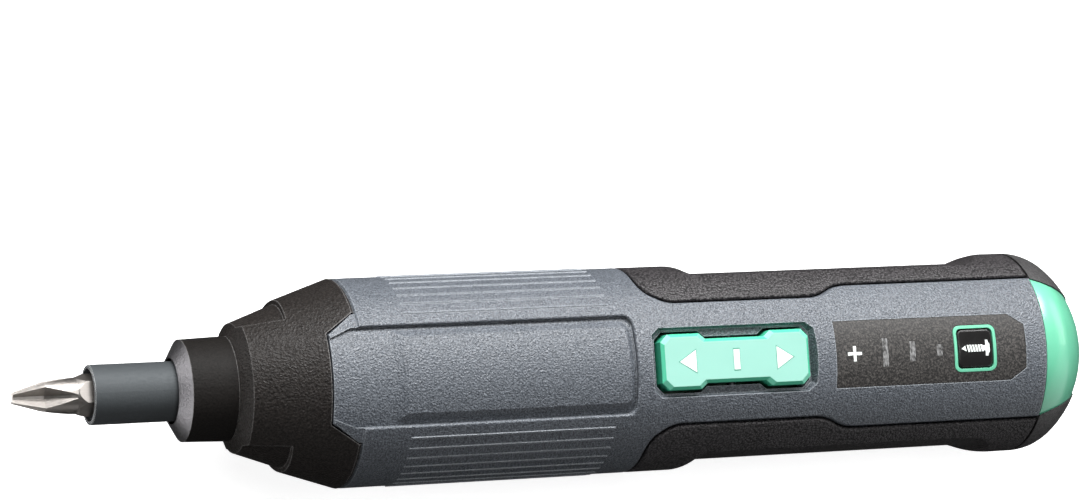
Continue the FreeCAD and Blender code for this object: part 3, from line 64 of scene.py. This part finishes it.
class Finish:
    """A material under construction."""

    def __init__(self, name, colour, roughness, metallic=0.0):
        self.material = bpy.data.materials.new(name)
        self.material.use_nodes = True
        self.tree = self.material.node_tree
        self.shader = self.tree.nodes["Principled BSDF"]
        self.normal = None
        coordinates = self.add("ShaderNodeTexCoord")
        self.place = coordinates.outputs["Object"]
        self.facing = coordinates.outputs["Normal"]
        self.set("Base Color", (*colour, 1.0))
        self.set("Roughness", roughness)
        self.set("Metallic", metallic)

    def put(self, socket, value):
        """Feed a socket from another one, or give it a plain value."""
        if isinstance(value, bpy.types.NodeSocket):
            self.tree.links.new(value, socket)
        else:
            socket.default_value = value

    def set(self, name, value):
        """Give the shader's input of that name a value or a socket."""
        self.put(self.shader.inputs[name], value)

    def fed_by(self, name):
        """The socket that feeds the shader's input of that name."""
        return self.shader.inputs[name].links[0].from_socket

    def add(self, kind, **inputs):
        node = self.tree.nodes.new(kind)
        for name, value in inputs.items():
            self.put(node.inputs[name], value)
        return node

    def noise(self, size, detail=2.0, rough=0.5, stretch=None):
        """A soft noise from 0 to 1 whose features are about size across."""
        place = self.place
        if stretch:
            place = self.add("ShaderNodeMapping", Vector=place, Scale=stretch).outputs["Vector"]
        node = self.add("ShaderNodeTexNoise", Vector=place, Scale=1.0 / size, Detail=detail, Roughness=rough)
        return node.outputs["Fac"]

    def cells(self, size):
        """The distance from the middles of round cells that are about size across."""
        return self.add("ShaderNodeTexVoronoi", Vector=self.place, Scale=1.0 / size).outputs["Distance"]

    def slope(self, axis):
        """How far the surface looks along an axis of the object, from -1 to 1."""
        return self.add("ShaderNodeSeparateXYZ", Vector=self.facing).outputs[axis]

    def remap(self, factor, low, high, start=0.0, end=1.0):
        """A factor whose stretch from low to high runs from start to end."""
        node = self.add("ShaderNodeMapRange", Value=factor)
        for name, value in (("From Min", low), ("From Max", high), ("To Min", start), ("To Max", end)):
            node.inputs[name].default_value = value
        return node.outputs["Result"]

    def blend(self, factor, first, second):
        """A colour between two, each a colour or a socket."""
        node = self.tree.nodes.new("ShaderNodeMix")
        node.data_type = "RGBA"
        self.put(node.inputs["Factor"], factor)
        ends = [socket for socket in node.inputs if socket.type == "RGBA"]
        for socket, value in zip(ends, (first, second)):
            self.put(socket, (*value, 1.0) if isinstance(value, tuple) else value)
        return [socket for socket in node.outputs if socket.type == "RGBA"][0]

    def rounded(self, radius):
        """The surface's normal as if its edges were rounded."""
        node = self.add("ShaderNodeBevel", Radius=radius)
        node.samples = corner_samples
        return node.outputs["Normal"]

    def corner(self, reach):
        """A mask that grows from 0 to 1 where the surface turns a corner within reach."""
        match = self.tree.nodes.new("ShaderNodeVectorMath")
        match.operation = "DOT_PRODUCT"
        true_normal = self.add("ShaderNodeNewGeometry").outputs["Normal"]
        for socket, normal in zip(match.inputs, (self.rounded(reach), true_normal)):
            self.put(socket, normal)
        return self.remap(match.outputs["Value"], corner_start, corner_full)

    def paint(self, shade, edge_highlight=None, reach=0.0):
        """Colour the surface, with corners that may be painted another colour within reach, as painted edge
        highlights.
        """
        self.set("Base Color", self.blend(self.corner(reach), shade, edge_highlight) if edge_highlight else shade)

    def roughen(self, noise, start, end):
        """Let the roughness run from start to end with a noise."""
        self.set("Roughness", self.remap(noise, noise_low, noise_high, start, end))

    def soften(self, radius):
        """Let light see the small rounding of moulded and turned edges."""
        self.normal = self.rounded(radius)
        self.set("Normal", self.normal)

    def bump(self, height, depth):
        """Raise the surface by a noise, on top of what shapes it already."""
        node = self.add("ShaderNodeBump", Distance=depth, Height=height)
        if self.normal is not None:
            self.put(node.inputs["Normal"], self.normal)
        self.normal = node.outputs["Normal"]
        self.set("Normal", self.normal)


# Families of materials

def grained_plastic(name, dark, light, roughness, grain, depth, edge, spread=0.08, edge_highlight=None, specular=0.5):
    """Moulded plastic with a spark-eroded grain and soft edges, which may be painted lighter as edge highlights.
    """
    tone_share, tone_low, tone_high = 0.8, 0.36, 0.66
    # How far the painted edge highlight reaches, as a share of the edge rounding
    edge_highlight_share = 2.0
    finish = Finish(name, light, roughness)
    finish.set("Specular IOR Level", specular)
    coarse = finish.noise(grain, detail=1.0, rough=0.6)
    tone = finish.noise(grain * tone_share, detail=1.0)
    # Corners may be painted a lighter colour, standing in for edge highlights
    finish.paint(finish.blend(finish.remap(tone, tone_low, tone_high), dark, light), edge_highlight, edge * edge_highlight_share)
    finish.roughen(coarse, roughness + spread, roughness - spread)
    finish.soften(edge)
    finish.bump(coarse, depth)
    return finish


def green_plastic(name, dark, light, roughness, coat, side=None):
    """Smooth bright plastic with faint flow marks, whose sides may be painted deeper in colour as shade while
    faces that look up stay pale as painted sheen.
    """
    flow_size, flow_stretch = 14 * MM, (0.5, 1.0, 1.0)
    grain, depth, edge = 0.25 * MM, 0.006 * MM, 0.16 * MM
    smoother, rougher = 0.05, 0.07
    side_shade_start, side_shade_full = 0.93, 0.74
    finish = Finish(name, light, roughness)
    finish.set("Subsurface Weight", 0.08)
    finish.set("Subsurface Radius", (0.4 * MM, 0.9 * MM, 0.7 * MM))
    finish.set("Coat Weight", coat)
    finish.set("Coat Roughness", 0.22)
    flow = finish.noise(flow_size, detail=3.0, stretch=flow_stretch)
    fine = finish.noise(grain)
    shade = finish.blend(finish.remap(flow, noise_low, noise_high), dark, light)
    # Sides painted a deeper, darker colour as shade; faces that look up keep the pale colour as painted sheen
    if side:
        shade = finish.blend(finish.remap(finish.slope("Z"), side_shade_start, side_shade_full), shade, side)
    finish.paint(shade)
    finish.roughen(fine, roughness - smoother, roughness + rougher)
    finish.soften(edge)
    finish.bump(fine, depth)
    return finish


def brushed_metal(name, colour, roughness, grain, stretch=None, metallic=1.0, edge=0.12 * MM,
                  depth=0.008 * MM, edge_highlight=None):
    """Turned or drawn metal with fine marks, which may be stretched, and edges that may be painted bright as edge
    highlights.
    """
    dark_share, smoother, rougher = 0.8, 0.08, 0.1
    finish = Finish(name, colour, roughness, metallic)
    marks = finish.noise(grain, detail=4.0, rough=0.65, stretch=stretch)
    dark = tuple(part * dark_share for part in colour)
    # Corners may be painted a brighter colour, standing in for edge highlights
    finish.paint(finish.blend(finish.remap(marks, noise_low, noise_high), dark, colour), edge_highlight, edge)
    finish.roughen(marks, roughness - smoother, roughness + rougher)
    finish.soften(edge)
    finish.bump(marks, depth)
    return finish


def mottled(name, colour, dark, light, roughness, grain, depth):
    """A plain surface whose tone wanders a little, with a faint relief."""
    finish = Finish(name, colour, roughness)
    fine = finish.noise(grain)
    finish.paint(finish.blend(fine, dark, light))
    finish.bump(fine, depth)
    return finish


# Materials of the pieces: each function has the name of its slot in the record.

def housing_plastic(name):
    """Slate grey plastic whose grain glints where the light falls along it, and whose edges are painted lighter as
    edge highlights.
    """
    return grained_plastic(name, dark=(0.052, 0.059, 0.07), light=(0.142, 0.157, 0.179), roughness=0.4,
                           grain=0.36 * MM, depth=0.22 * MM, edge=0.14 * MM, spread=0.14,
                           edge_highlight=(0.33, 0.355, 0.385))


def nose_plastic(name):
    """Black plastic with a dull grain and edges that are painted grey as edge highlights."""
    return grained_plastic(name, dark=(0.0105, 0.009, 0.0082), light=(0.026, 0.0226, 0.0208), roughness=0.46,
                           grain=0.42 * MM, depth=0.24 * MM, edge=0.14 * MM, spread=0.16,
                           edge_highlight=(0.2, 0.193, 0.19), specular=0.2)


def collar_plastic(name):
    """Black ring whose faces that look forward, its bevel and mouth, are polished to a satin gleam, and whose
    edges are painted grey as edge highlights.
    """
    dull, polished, satin = 0.62, 0.4, (0.2, 0.194, 0.203)
    gleam_start, gleam_full = -0.25, -0.45
    finish = grained_plastic(name, dark=(0.0064, 0.0055, 0.0049), light=(0.0115, 0.01, 0.009), roughness=dull,
                             grain=0.36 * MM, depth=0.1 * MM, edge=0.12 * MM, edge_highlight=(0.36, 0.35, 0.345),
                             specular=0.14)
    gleam = finish.remap(finish.slope("X"), gleam_start, gleam_full)
    finish.paint(finish.blend(gleam, finish.fed_by("Base Color"), satin))
    finish.set("Roughness", finish.remap(gleam, 0.0, 1.0, dull, polished))
    finish.set("Metallic", gleam)
    return finish


def grip_rubber(name):
    """Pebbled rubber: small round cells, their valleys painted darker as shade."""
    crest, valley_shade = (0.054, 0.049, 0.052), (0.009, 0.008, 0.0086)
    pebble_size, pebble_depth, crest_end, valley_shade_start = 0.42 * MM, 0.18 * MM, 0.2, 0.7
    grit_size, grit_depth = 0.3 * MM, 0.05 * MM
    smooth, rough, edge = 0.4, 0.6, 0.16 * MM
    finish = Finish(name, colour=(0.04, 0.037, 0.038), roughness=0.5)
    pebbles = finish.cells(pebble_size)
    grit = finish.noise(grit_size, detail=1.0)
    # Valleys between the pebbles painted darker as shade, crests lighter
    finish.paint(finish.blend(finish.remap(pebbles, crest_end, valley_shade_start), crest, valley_shade))
    finish.roughen(grit, smooth, rough)
    finish.soften(edge)
    finish.bump(pebbles, -pebble_depth)
    finish.bump(grit, grit_depth)
    return finish


def tail_plastic(name):
    """Dark plastic of the end cap, a little paler than the nose."""
    return grained_plastic(name, dark=(0.03, 0.029, 0.0295), light=(0.068, 0.066, 0.067), roughness=0.46,
                           grain=0.4 * MM, depth=0.14 * MM, edge=0.2 * MM)


def accent_plastic(name):
    """Glossy green of the tail band and the button's frame."""
    return green_plastic(name, dark=(0.125, 0.48, 0.3), light=(0.145, 0.53, 0.345), roughness=0.34, coat=0.7)


def rocker_plastic(name):
    """Pale satin green of the rocker, partly its own colour and partly painted sheen, with its sides painted
    deeper in colour as shade.
    """
    return green_plastic(name, dark=(0.235, 0.5, 0.415), light=(0.262, 0.54, 0.455), roughness=0.46,
                         coat=0.12, side=(0.055, 0.5, 0.3))


def panel_plastic(name):
    """Dark label plate with a fine printed speckle."""
    ground, speck = (0.007, 0.0062, 0.0058), (0.078, 0.072, 0.067)
    speck_size, speck_depth, speck_start, speck_full = 0.34 * MM, 0.06 * MM, 0.42, 0.72
    smooth, rough, edge = 0.52, 0.66, 0.1 * MM
    finish = Finish(name, colour=(0.04, 0.037, 0.035), roughness=0.5)
    fine = finish.noise(speck_size, detail=1.0, rough=0.7)
    finish.paint(finish.blend(finish.remap(fine, speck_start, speck_full), ground, speck))
    finish.roughen(fine, smooth, rough)
    finish.soften(edge)
    finish.bump(fine, speck_depth)
    return finish


def button_plastic(name):
    """Polished black with a slow ripple."""
    ripple_size, ripple_depth = 1.5 * MM, 0.01 * MM
    smooth, rough, edge = 0.13, 0.2, 0.5 * MM
    finish = Finish(name, colour=(0.012, 0.0115, 0.0115), roughness=0.16)
    finish.set("Coat Weight", 0.4)
    finish.set("Coat Roughness", 0.08)
    ripple = finish.noise(ripple_size)
    finish.roughen(ripple, smooth, rough)
    finish.soften(edge)
    finish.bump(ripple, ripple_depth)
    return finish


def light_plastic(name):
    """Clear smoked strips over unlit lamps, with a fine crosswise prism."""
    groove, ridge = (0.03, 0.029, 0.028), (0.26, 0.26, 0.26)
    prism_size, prism_depth, prism_stretch = 0.5 * MM, 0.05 * MM, (1.6, 0.7, 0.3)
    groove_end, ridge_start = 0.35, 0.65
    finish = Finish(name, colour=(0.1, 0.1, 0.1), roughness=0.3)
    prism = finish.noise(prism_size, stretch=prism_stretch)
    finish.paint(finish.blend(finish.remap(prism, groove_end, ridge_start), groove, ridge))
    finish.bump(prism, prism_depth)
    return finish


def spindle_steel(name):
    """Blue-grey coated steel, its rims painted bright as rim highlights."""
    return brushed_metal(name, colour=(0.06, 0.068, 0.073), roughness=0.64, grain=0.5 * MM, metallic=0.35,
                         edge=0.16 * MM, depth=0.03 * MM, edge_highlight=(0.75, 0.75, 0.75))


def bit_steel(name):
    """Bright tool steel, drawn along its length."""
    return brushed_metal(name, colour=(0.41, 0.383, 0.36), roughness=0.4, grain=0.3 * MM,
                         stretch=(0.4, 1.0, 1.0), edge=0.08 * MM)


def board_resin(name):
    """Green circuit board with a faint weave."""
    return mottled(name, colour=(0.01, 0.09, 0.035), dark=(0.008, 0.07, 0.028), light=(0.014, 0.12, 0.05),
                   roughness=0.4, grain=0.5 * MM, depth=0.01 * MM)


own_finishes = (housing_plastic, nose_plastic, collar_plastic, grip_rubber, tail_plastic, accent_plastic,
                rocker_plastic, panel_plastic, button_plastic, light_plastic, spindle_steel, bit_steel,
                board_resin)

# Plain metals: colour, roughness and size of the marks
plain_metals = {
    "gear_steel": ((0.5, 0.5, 0.51), 0.35, 0.3 * MM),
    "case_metal": ((0.32, 0.32, 0.33), 0.4, 0.5 * MM),
    "motor_metal": ((0.5, 0.5, 0.49), 0.38, 0.6 * MM),
    "bush_bronze": ((0.55, 0.36, 0.16), 0.4, 0.3 * MM),
    "magnet_metal": ((0.6, 0.6, 0.6), 0.25, 0.4 * MM),
    "fastener_steel": ((0.06, 0.06, 0.065), 0.4, 0.3 * MM),
    "tab_nickel": ((0.65, 0.62, 0.56), 0.3, 0.4 * MM),
    "port_steel": ((0.62, 0.62, 0.63), 0.28, 0.4 * MM),
}

# Plain plastics: dark and light tone, roughness, size and depth of the grain, rounding of the edges
plain_plastics = {
    "bell_plastic": ((0.02, 0.02, 0.02), (0.035, 0.035, 0.035), 0.5, 0.3 * MM, 0.02 * MM, 0.2 * MM),
    "switch_plastic": ((0.02, 0.02, 0.02), (0.04, 0.04, 0.04), 0.4, 0.3 * MM, 0.01 * MM, 0.1 * MM),
    "cell_can": ((0.03, 0.11, 0.3), (0.04, 0.14, 0.36), 0.3, 0.8 * MM, 0.005 * MM, 0.2 * MM),
}


def dress_nodes():
    """Give every solid of the frame the finish of its slot."""
    finishes = {make.__name__: make(make.__name__) for make in own_finishes}
    for slot, values in plain_metals.items():
        finishes[slot] = brushed_metal(slot, *values)
    for slot, values in plain_plastics.items():
        finishes[slot] = grained_plastic(slot, *values)
    for name, item in nodes.items():
        item.data.materials.clear()
        item.data.materials.append(finishes[slot_of[name]].material)


dress_nodes()


# Signs on the controls: thin inlays and prints that lie on the faces that carry them.

white_print = mottled("white_print", colour=(0.86, 0.9, 0.88), dark=(0.8, 0.86, 0.83),
                      light=(0.9, 0.93, 0.91), roughness=0.45, grain=0.3 * MM, depth=0.004 * MM).material
# Dark green line round the rocker's marks: painted shade of their sunk edge
inlay_shade_line = mottled("inlay_shade_line", colour=(0.05, 0.28, 0.19), dark=(0.04, 0.24, 0.16),
                     light=(0.07, 0.32, 0.22), roughness=0.5, grain=0.3 * MM, depth=0.004 * MM).material

# Rocker: arrows and bar, measured from the pivot, and the dark line round them, painted shade of their sunk edge
arrow_base, arrow_tip, arrow_half = 7.6 * MM, 10.7 * MM, 1.95 * MM
bar_half_width, bar_half_length = 0.55 * MM, 1.75 * MM
inlay_thickness, inlay_shade_width = 0.05 * MM, 0.22 * MM

# Prints that are wrapped over a round skin
print_strips, print_thickness = 8, 0.03 * MM

# Label: a plus sign, measured from the label's front end
plus_setback, plus_arm, plus_half_width = 3.5 * MM, 1.35 * MM, 0.27 * MM

# Button: a screw, measured from the button's middle
screw_tip, screw_start, screw_head = -2.75 * MM, -2.0 * MM, 2.0 * MM
thread_turns, thread_pitch, thread_width = 6, 0.54 * MM, 0.36 * MM
thread_half, thread_lean = 0.62 * MM, 0.26 * MM
head_half, head_width, crown_width = 1.4 * MM, 0.5 * MM, 0.3 * MM

# Its point and neck as shares of a turn's half width, its gaps as shares of the pitch, its crown of the head
point_share, neck_share = 0.8, 0.7
point_gap_share, neck_gap_share = 0.6, 0.4
crown_foot_share, crown_top_share = 0.8, 0.45

# Dark crosses painted on the screw heads as the shade of their cross recesses
recess_arm, recess_half_width, recess_depth = 1.25 * MM, 0.28 * MM, 0.03 * MM


def add_piece(name, shape, material, body):
    """Make an object of a shape, and let it ride on a body."""
    bmesh.ops.recalc_face_normals(shape, faces=shape.faces)
    mesh = bpy.data.meshes.new(name)
    shape.to_mesh(mesh)
    shape.free()
    mesh.materials.append(material)
    item = bpy.data.objects.new(name, mesh)
    bpy.context.scene.collection.objects.link(item)
    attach(item, body)


def flat_piece(name, outlines, level, thickness, material, body):
    """Thin plates with the given outlines in plan, standing on a level."""
    shape = bmesh.new()
    for outline in outlines:
        lower = [shape.verts.new((x, y, level)) for x, y in outline]
        upper = [shape.verts.new((x, y, level + thickness)) for x, y in outline]
        shape.faces.new(list(reversed(lower)))
        shape.faces.new(upper)
        count = len(outline)
        for index in range(count):
            after = (index + 1) % count
            shape.faces.new((lower[index], lower[after], upper[after], upper[index]))
    add_piece(name, shape, material, body)


def on_skin(radius, y):
    """Height of a point on a skin that is round about the tool's axis."""
    return axis_height + math.sqrt(radius * radius - y * y)


def crown_radius(node):
    """Radius of a node's round top about the tool's axis."""
    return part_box(node)[1].z - axis_height


def printed_sign(name, outlines, radius, body):
    """Thin print with the given outlines in plan, wrapped over a skin of the given radius."""
    shape = bmesh.new()
    for outline in outlines:
        shape.faces.new([shape.verts.new((x, y, 0.0)) for x, y in outline])
    reach = max(abs(vert.co.y) for vert in shape.verts)
    for index in range(1, print_strips):
        level = reach * (2.0 * index / print_strips - 1.0)
        bmesh.ops.bisect_plane(shape, geom=shape.verts[:] + shape.edges[:] + shape.faces[:],
                               plane_co=(0.0, level, 0.0), plane_no=(0.0, 1.0, 0.0))
    raised = bmesh.ops.extrude_face_region(shape, geom=shape.faces[:])["geom"]
    top = {item for item in raised if isinstance(item, bmesh.types.BMVert)}
    for vert in shape.verts:
        vert.co.z = on_skin(radius, vert.co.y) + (print_thickness if vert in top else 0.0)
    add_piece(name, shape, white_print, body)


def grown(outline, amount):
    """The same convex outline, each corner moved away from the middle."""
    corners = [Vector(corner) for corner in outline]
    middle = sum(corners, Vector((0.0, 0.0))) / len(corners)
    return [tuple(corner + (corner - middle).normalized() * amount) for corner in corners]


def taper_outline(start, end, start_half, end_half):
    """A bar along X whose half width may change from its start to its end."""
    return [(start, -start_half), (end, -end_half), (end, end_half), (start, start_half)]


def cross_outline(x, y, arm, half):
    """An upright cross about a point."""
    return [(x - half, y - arm), (x + half, y - arm), (x + half, y - half), (x + arm, y - half),
            (x + arm, y + half), (x + half, y + half), (x + half, y + arm), (x - half, y + arm),
            (x - half, y + half), (x - arm, y + half), (x - arm, y - half), (x - half, y - half)]


def rocker_marks():
    """An arrow at each end of the rocker and a bar at its middle, inlaid, with a dark line round them painted as
    the shade of their sunk edge.
    """
    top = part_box("rocker_cap")[1].z
    outlines = []
    for side in (-1, 1):
        base = pivot_x + side * arrow_base
        outlines.append([(base, -arrow_half), (pivot_x + side * arrow_tip, 0.0), (base, arrow_half)])
    outlines.append(taper_outline(pivot_x - bar_half_width, pivot_x + bar_half_width,
                                  bar_half_length, bar_half_length))
    borders = [grown(outline, inlay_shade_width) for outline in outlines]
    flat_piece("rocker_mark_shade_lines", borders, top, inlay_thickness / 2, inlay_shade_line, "rocker")
    flat_piece("rocker_marks", outlines, top, inlay_thickness, white_print, "rocker")


def panel_sign():
    """A plain plus sign before the longest light bar."""
    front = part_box("control_panel")[0].x
    outline = cross_outline(front + plus_setback, 0.0, plus_arm, plus_half_width)
    printed_sign("panel_plus_sign", [outline], crown_radius("control_panel"), "housing")


def button_sign():
    """A plain screw lying along the button: point, slanted turns, neck and head."""
    low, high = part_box("mode_button")
    middle = (low.x + high.x) / 2
    start = middle + screw_start
    point_half = thread_half * point_share
    outlines = [[(middle + screw_tip, 0.0), (start + thread_lean, -point_half), (start, point_half)]]
    for index in range(thread_turns):
        foot = start + thread_pitch * (index + point_gap_share)
        lean = foot + thread_lean
        outlines.append([(lean, -thread_half), (lean + thread_width, -thread_half),
                         (foot + thread_width, thread_half), (foot, thread_half)])
    neck = start + thread_pitch * (thread_turns + neck_gap_share)
    head = middle + screw_head
    crown = head + head_width
    neck_half = thread_half * neck_share
    outlines.append(taper_outline(neck, head, neck_half, neck_half))
    outlines.append(taper_outline(head, crown, head_half, head_half))
    outlines.append(taper_outline(crown, crown + crown_width, head_half * crown_foot_share,
                                  head_half * crown_top_share))
    printed_sign("button_screw_sign", outlines, crown_radius("mode_button"), "button")


def screw_recess_shade():
    """Dark crosses on the four screw heads under the back, painted shade of their cross recesses."""
    low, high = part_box("housing_screws")
    middle = (low.x + high.x) / 2
    heads = [vert.co for vert in nodes["housing_screws"].data.vertices if vert.co.z < low.z + recess_depth]
    outlines = []
    for fore in (True, False):
        for side in (True, False):
            rim = [spot for spot in heads if (spot.x < middle) == fore and (spot.y < 0) == side]
            x = (min(spot.x for spot in rim) + max(spot.x for spot in rim)) / 2
            y = (min(spot.y for spot in rim) + max(spot.y for spot in rim)) / 2
            outlines.append(cross_outline(x, y, recess_arm, recess_half_width))
    shadow = grained_plastic("recess_shadow", dark=(0.004, 0.004, 0.004), light=(0.01, 0.01, 0.01),
                             roughness=0.6, grain=0.3 * MM, depth=0.02 * MM, edge=0.1 * MM).material
    flat_piece("screw_recess_shade", outlines, low.z - recess_depth, recess_depth, shadow, "housing")


rocker_marks()
panel_sign()
button_sign()
screw_recess_shade()


# Stage: a plain pale floor under soft studio light.

floor_reach, floor_drop, floor_glow = 3.0, 0.1 * MM, 0.8
world_glow = 0.03

tool_middle = Vector((0.0, 0.0, axis_height))
band_middle = sum(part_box("tail_band"), Vector()) / 2
bounce_place = Vector((-0.27, 0.02, 1 * MM))
above_bounce = bounce_place + Vector((0.0, 0.0, 1.0))

# Soft lights: place, what they point at, width, height and power in watts
lights = {
    "key": ((0.08, 0.66, 0.5), tool_middle, 1.1, 0.36, 19.5),
    "top": ((0.13, 0.09, 0.74), tool_middle, 0.36, 0.3, 1.55),
    "fill": ((0.1, -0.9, 0.22), tool_middle, 1.0, 0.5, 0.7),
    "front": ((-0.82, 0.04, 0.22), tool_middle, 0.8, 0.26, 2.8),
    "rear": ((0.8, 0.25, 0.2), tool_middle, 0.5, 0.3, 1.2),
    "tail": ((0.32, -0.16, 0.08), band_middle, 0.32, 0.26, 0.24),
    "bounce": (bounce_place, above_bounce, 0.34, 0.14, 0.45),
}


def floor():
    """A sheet of white paper that glows a little, as a bright studio floor does."""
    dark, light, fibre_size = (0.84, 0.84, 0.84), (0.87, 0.87, 0.87), 2 * MM
    finish = Finish("floor_paper", colour=(0.85, 0.85, 0.85), roughness=0.9)
    finish.set("Emission Strength", floor_glow)
    finish.paint(finish.blend(finish.noise(fibre_size, detail=4.0), dark, light))
    mesh = bpy.data.meshes.new("floor")
    corners = [(-floor_reach, -floor_reach, 0), (floor_reach, -floor_reach, 0), (floor_reach, floor_reach, 0),
               (-floor_reach, floor_reach, 0)]
    mesh.from_pydata(corners, [], [(0, 1, 2, 3)])
    mesh.materials.append(finish.material)
    item = bpy.data.objects.new("floor", mesh)
    item.location.z = -floor_drop
    item.visible_diffuse = False
    item.visible_glossy = False
    bpy.context.scene.collection.objects.link(item)


def area_light(name, place, target, width, height, power):
    data = bpy.data.lights.new(name, "AREA")
    data.shape = "RECTANGLE"
    data.size = width
    data.size_y = height
    data.energy = power
    item = bpy.data.objects.new(name, data)
    item.location = place
    item.rotation_euler = (target - Vector(place)).to_track_quat("-Z", "Y").to_euler()
    bpy.context.scene.collection.objects.link(item)
    return item


def studio():
    """The lights, with the bounce hidden from the camera, and a faint even surround."""
    items = {name: area_light(name, *values) for name, values in lights.items()}
    items["bounce"].visible_camera = False
    world = bpy.data.worlds.new("studio")
    world.use_nodes = True
    backdrop = world.node_tree.nodes["Background"]
    backdrop.inputs["Color"].default_value = (1.0, 1.0, 1.0, 1.0)
    backdrop.inputs["Strength"].default_value = world_glow
    bpy.context.scene.world = world
    bpy.context.scene.view_settings.view_transform = "Standard"


floor()
studio()


# Camera: from the control side, swung towards the bit, with the tool low in the picture.

image_width, image_height = 1092.0, 500.0
focal_pixels = 4000.0
camera_distance = 0.7
swing = math.radians(20.5)
tilt = math.radians(2.7)

# Slope of the tool's axis in the picture, the point on it that is aimed at, and that point's pixel row
axis_slope = 0.0588
aim = Vector((-3.7 * MM, 0.0, axis_height))
aim_row = 373.5


def camera():
    """Stand back from the aim, lean to the slope of the axis, and nod until the aim is in its row."""
    drop = (aim_row - image_height / 2) / focal_pixels
    back = Vector((-math.sin(swing) * math.cos(tilt), -math.sin(tilt), math.cos(swing) * math.cos(tilt)))
    along = Vector((1.0, 0.0, 0.0))
    across = (along - along.dot(back) * back).normalized()
    upward = back.cross(across)
    lean = math.atan(axis_slope - drop * math.tan(swing))
    right = across * math.cos(lean) - upward * math.sin(lean)
    up = upward * math.cos(lean) + across * math.sin(lean)
    nod = math.atan(drop)
    look = (-back * math.cos(nod) + up * math.sin(nod)).normalized()
    head = right.cross(look)
    data = bpy.data.cameras.new("camera")
    data.lens = focal_pixels / image_width * data.sensor_width
    item = bpy.data.objects.new("camera", data)
    turn = Matrix((right, head, -look)).transposed().to_4x4()
    item.matrix_world = Matrix.Translation(aim + back * camera_distance) @ turn
    bpy.context.scene.collection.objects.link(item)
    bpy.context.scene.camera = item


camera()
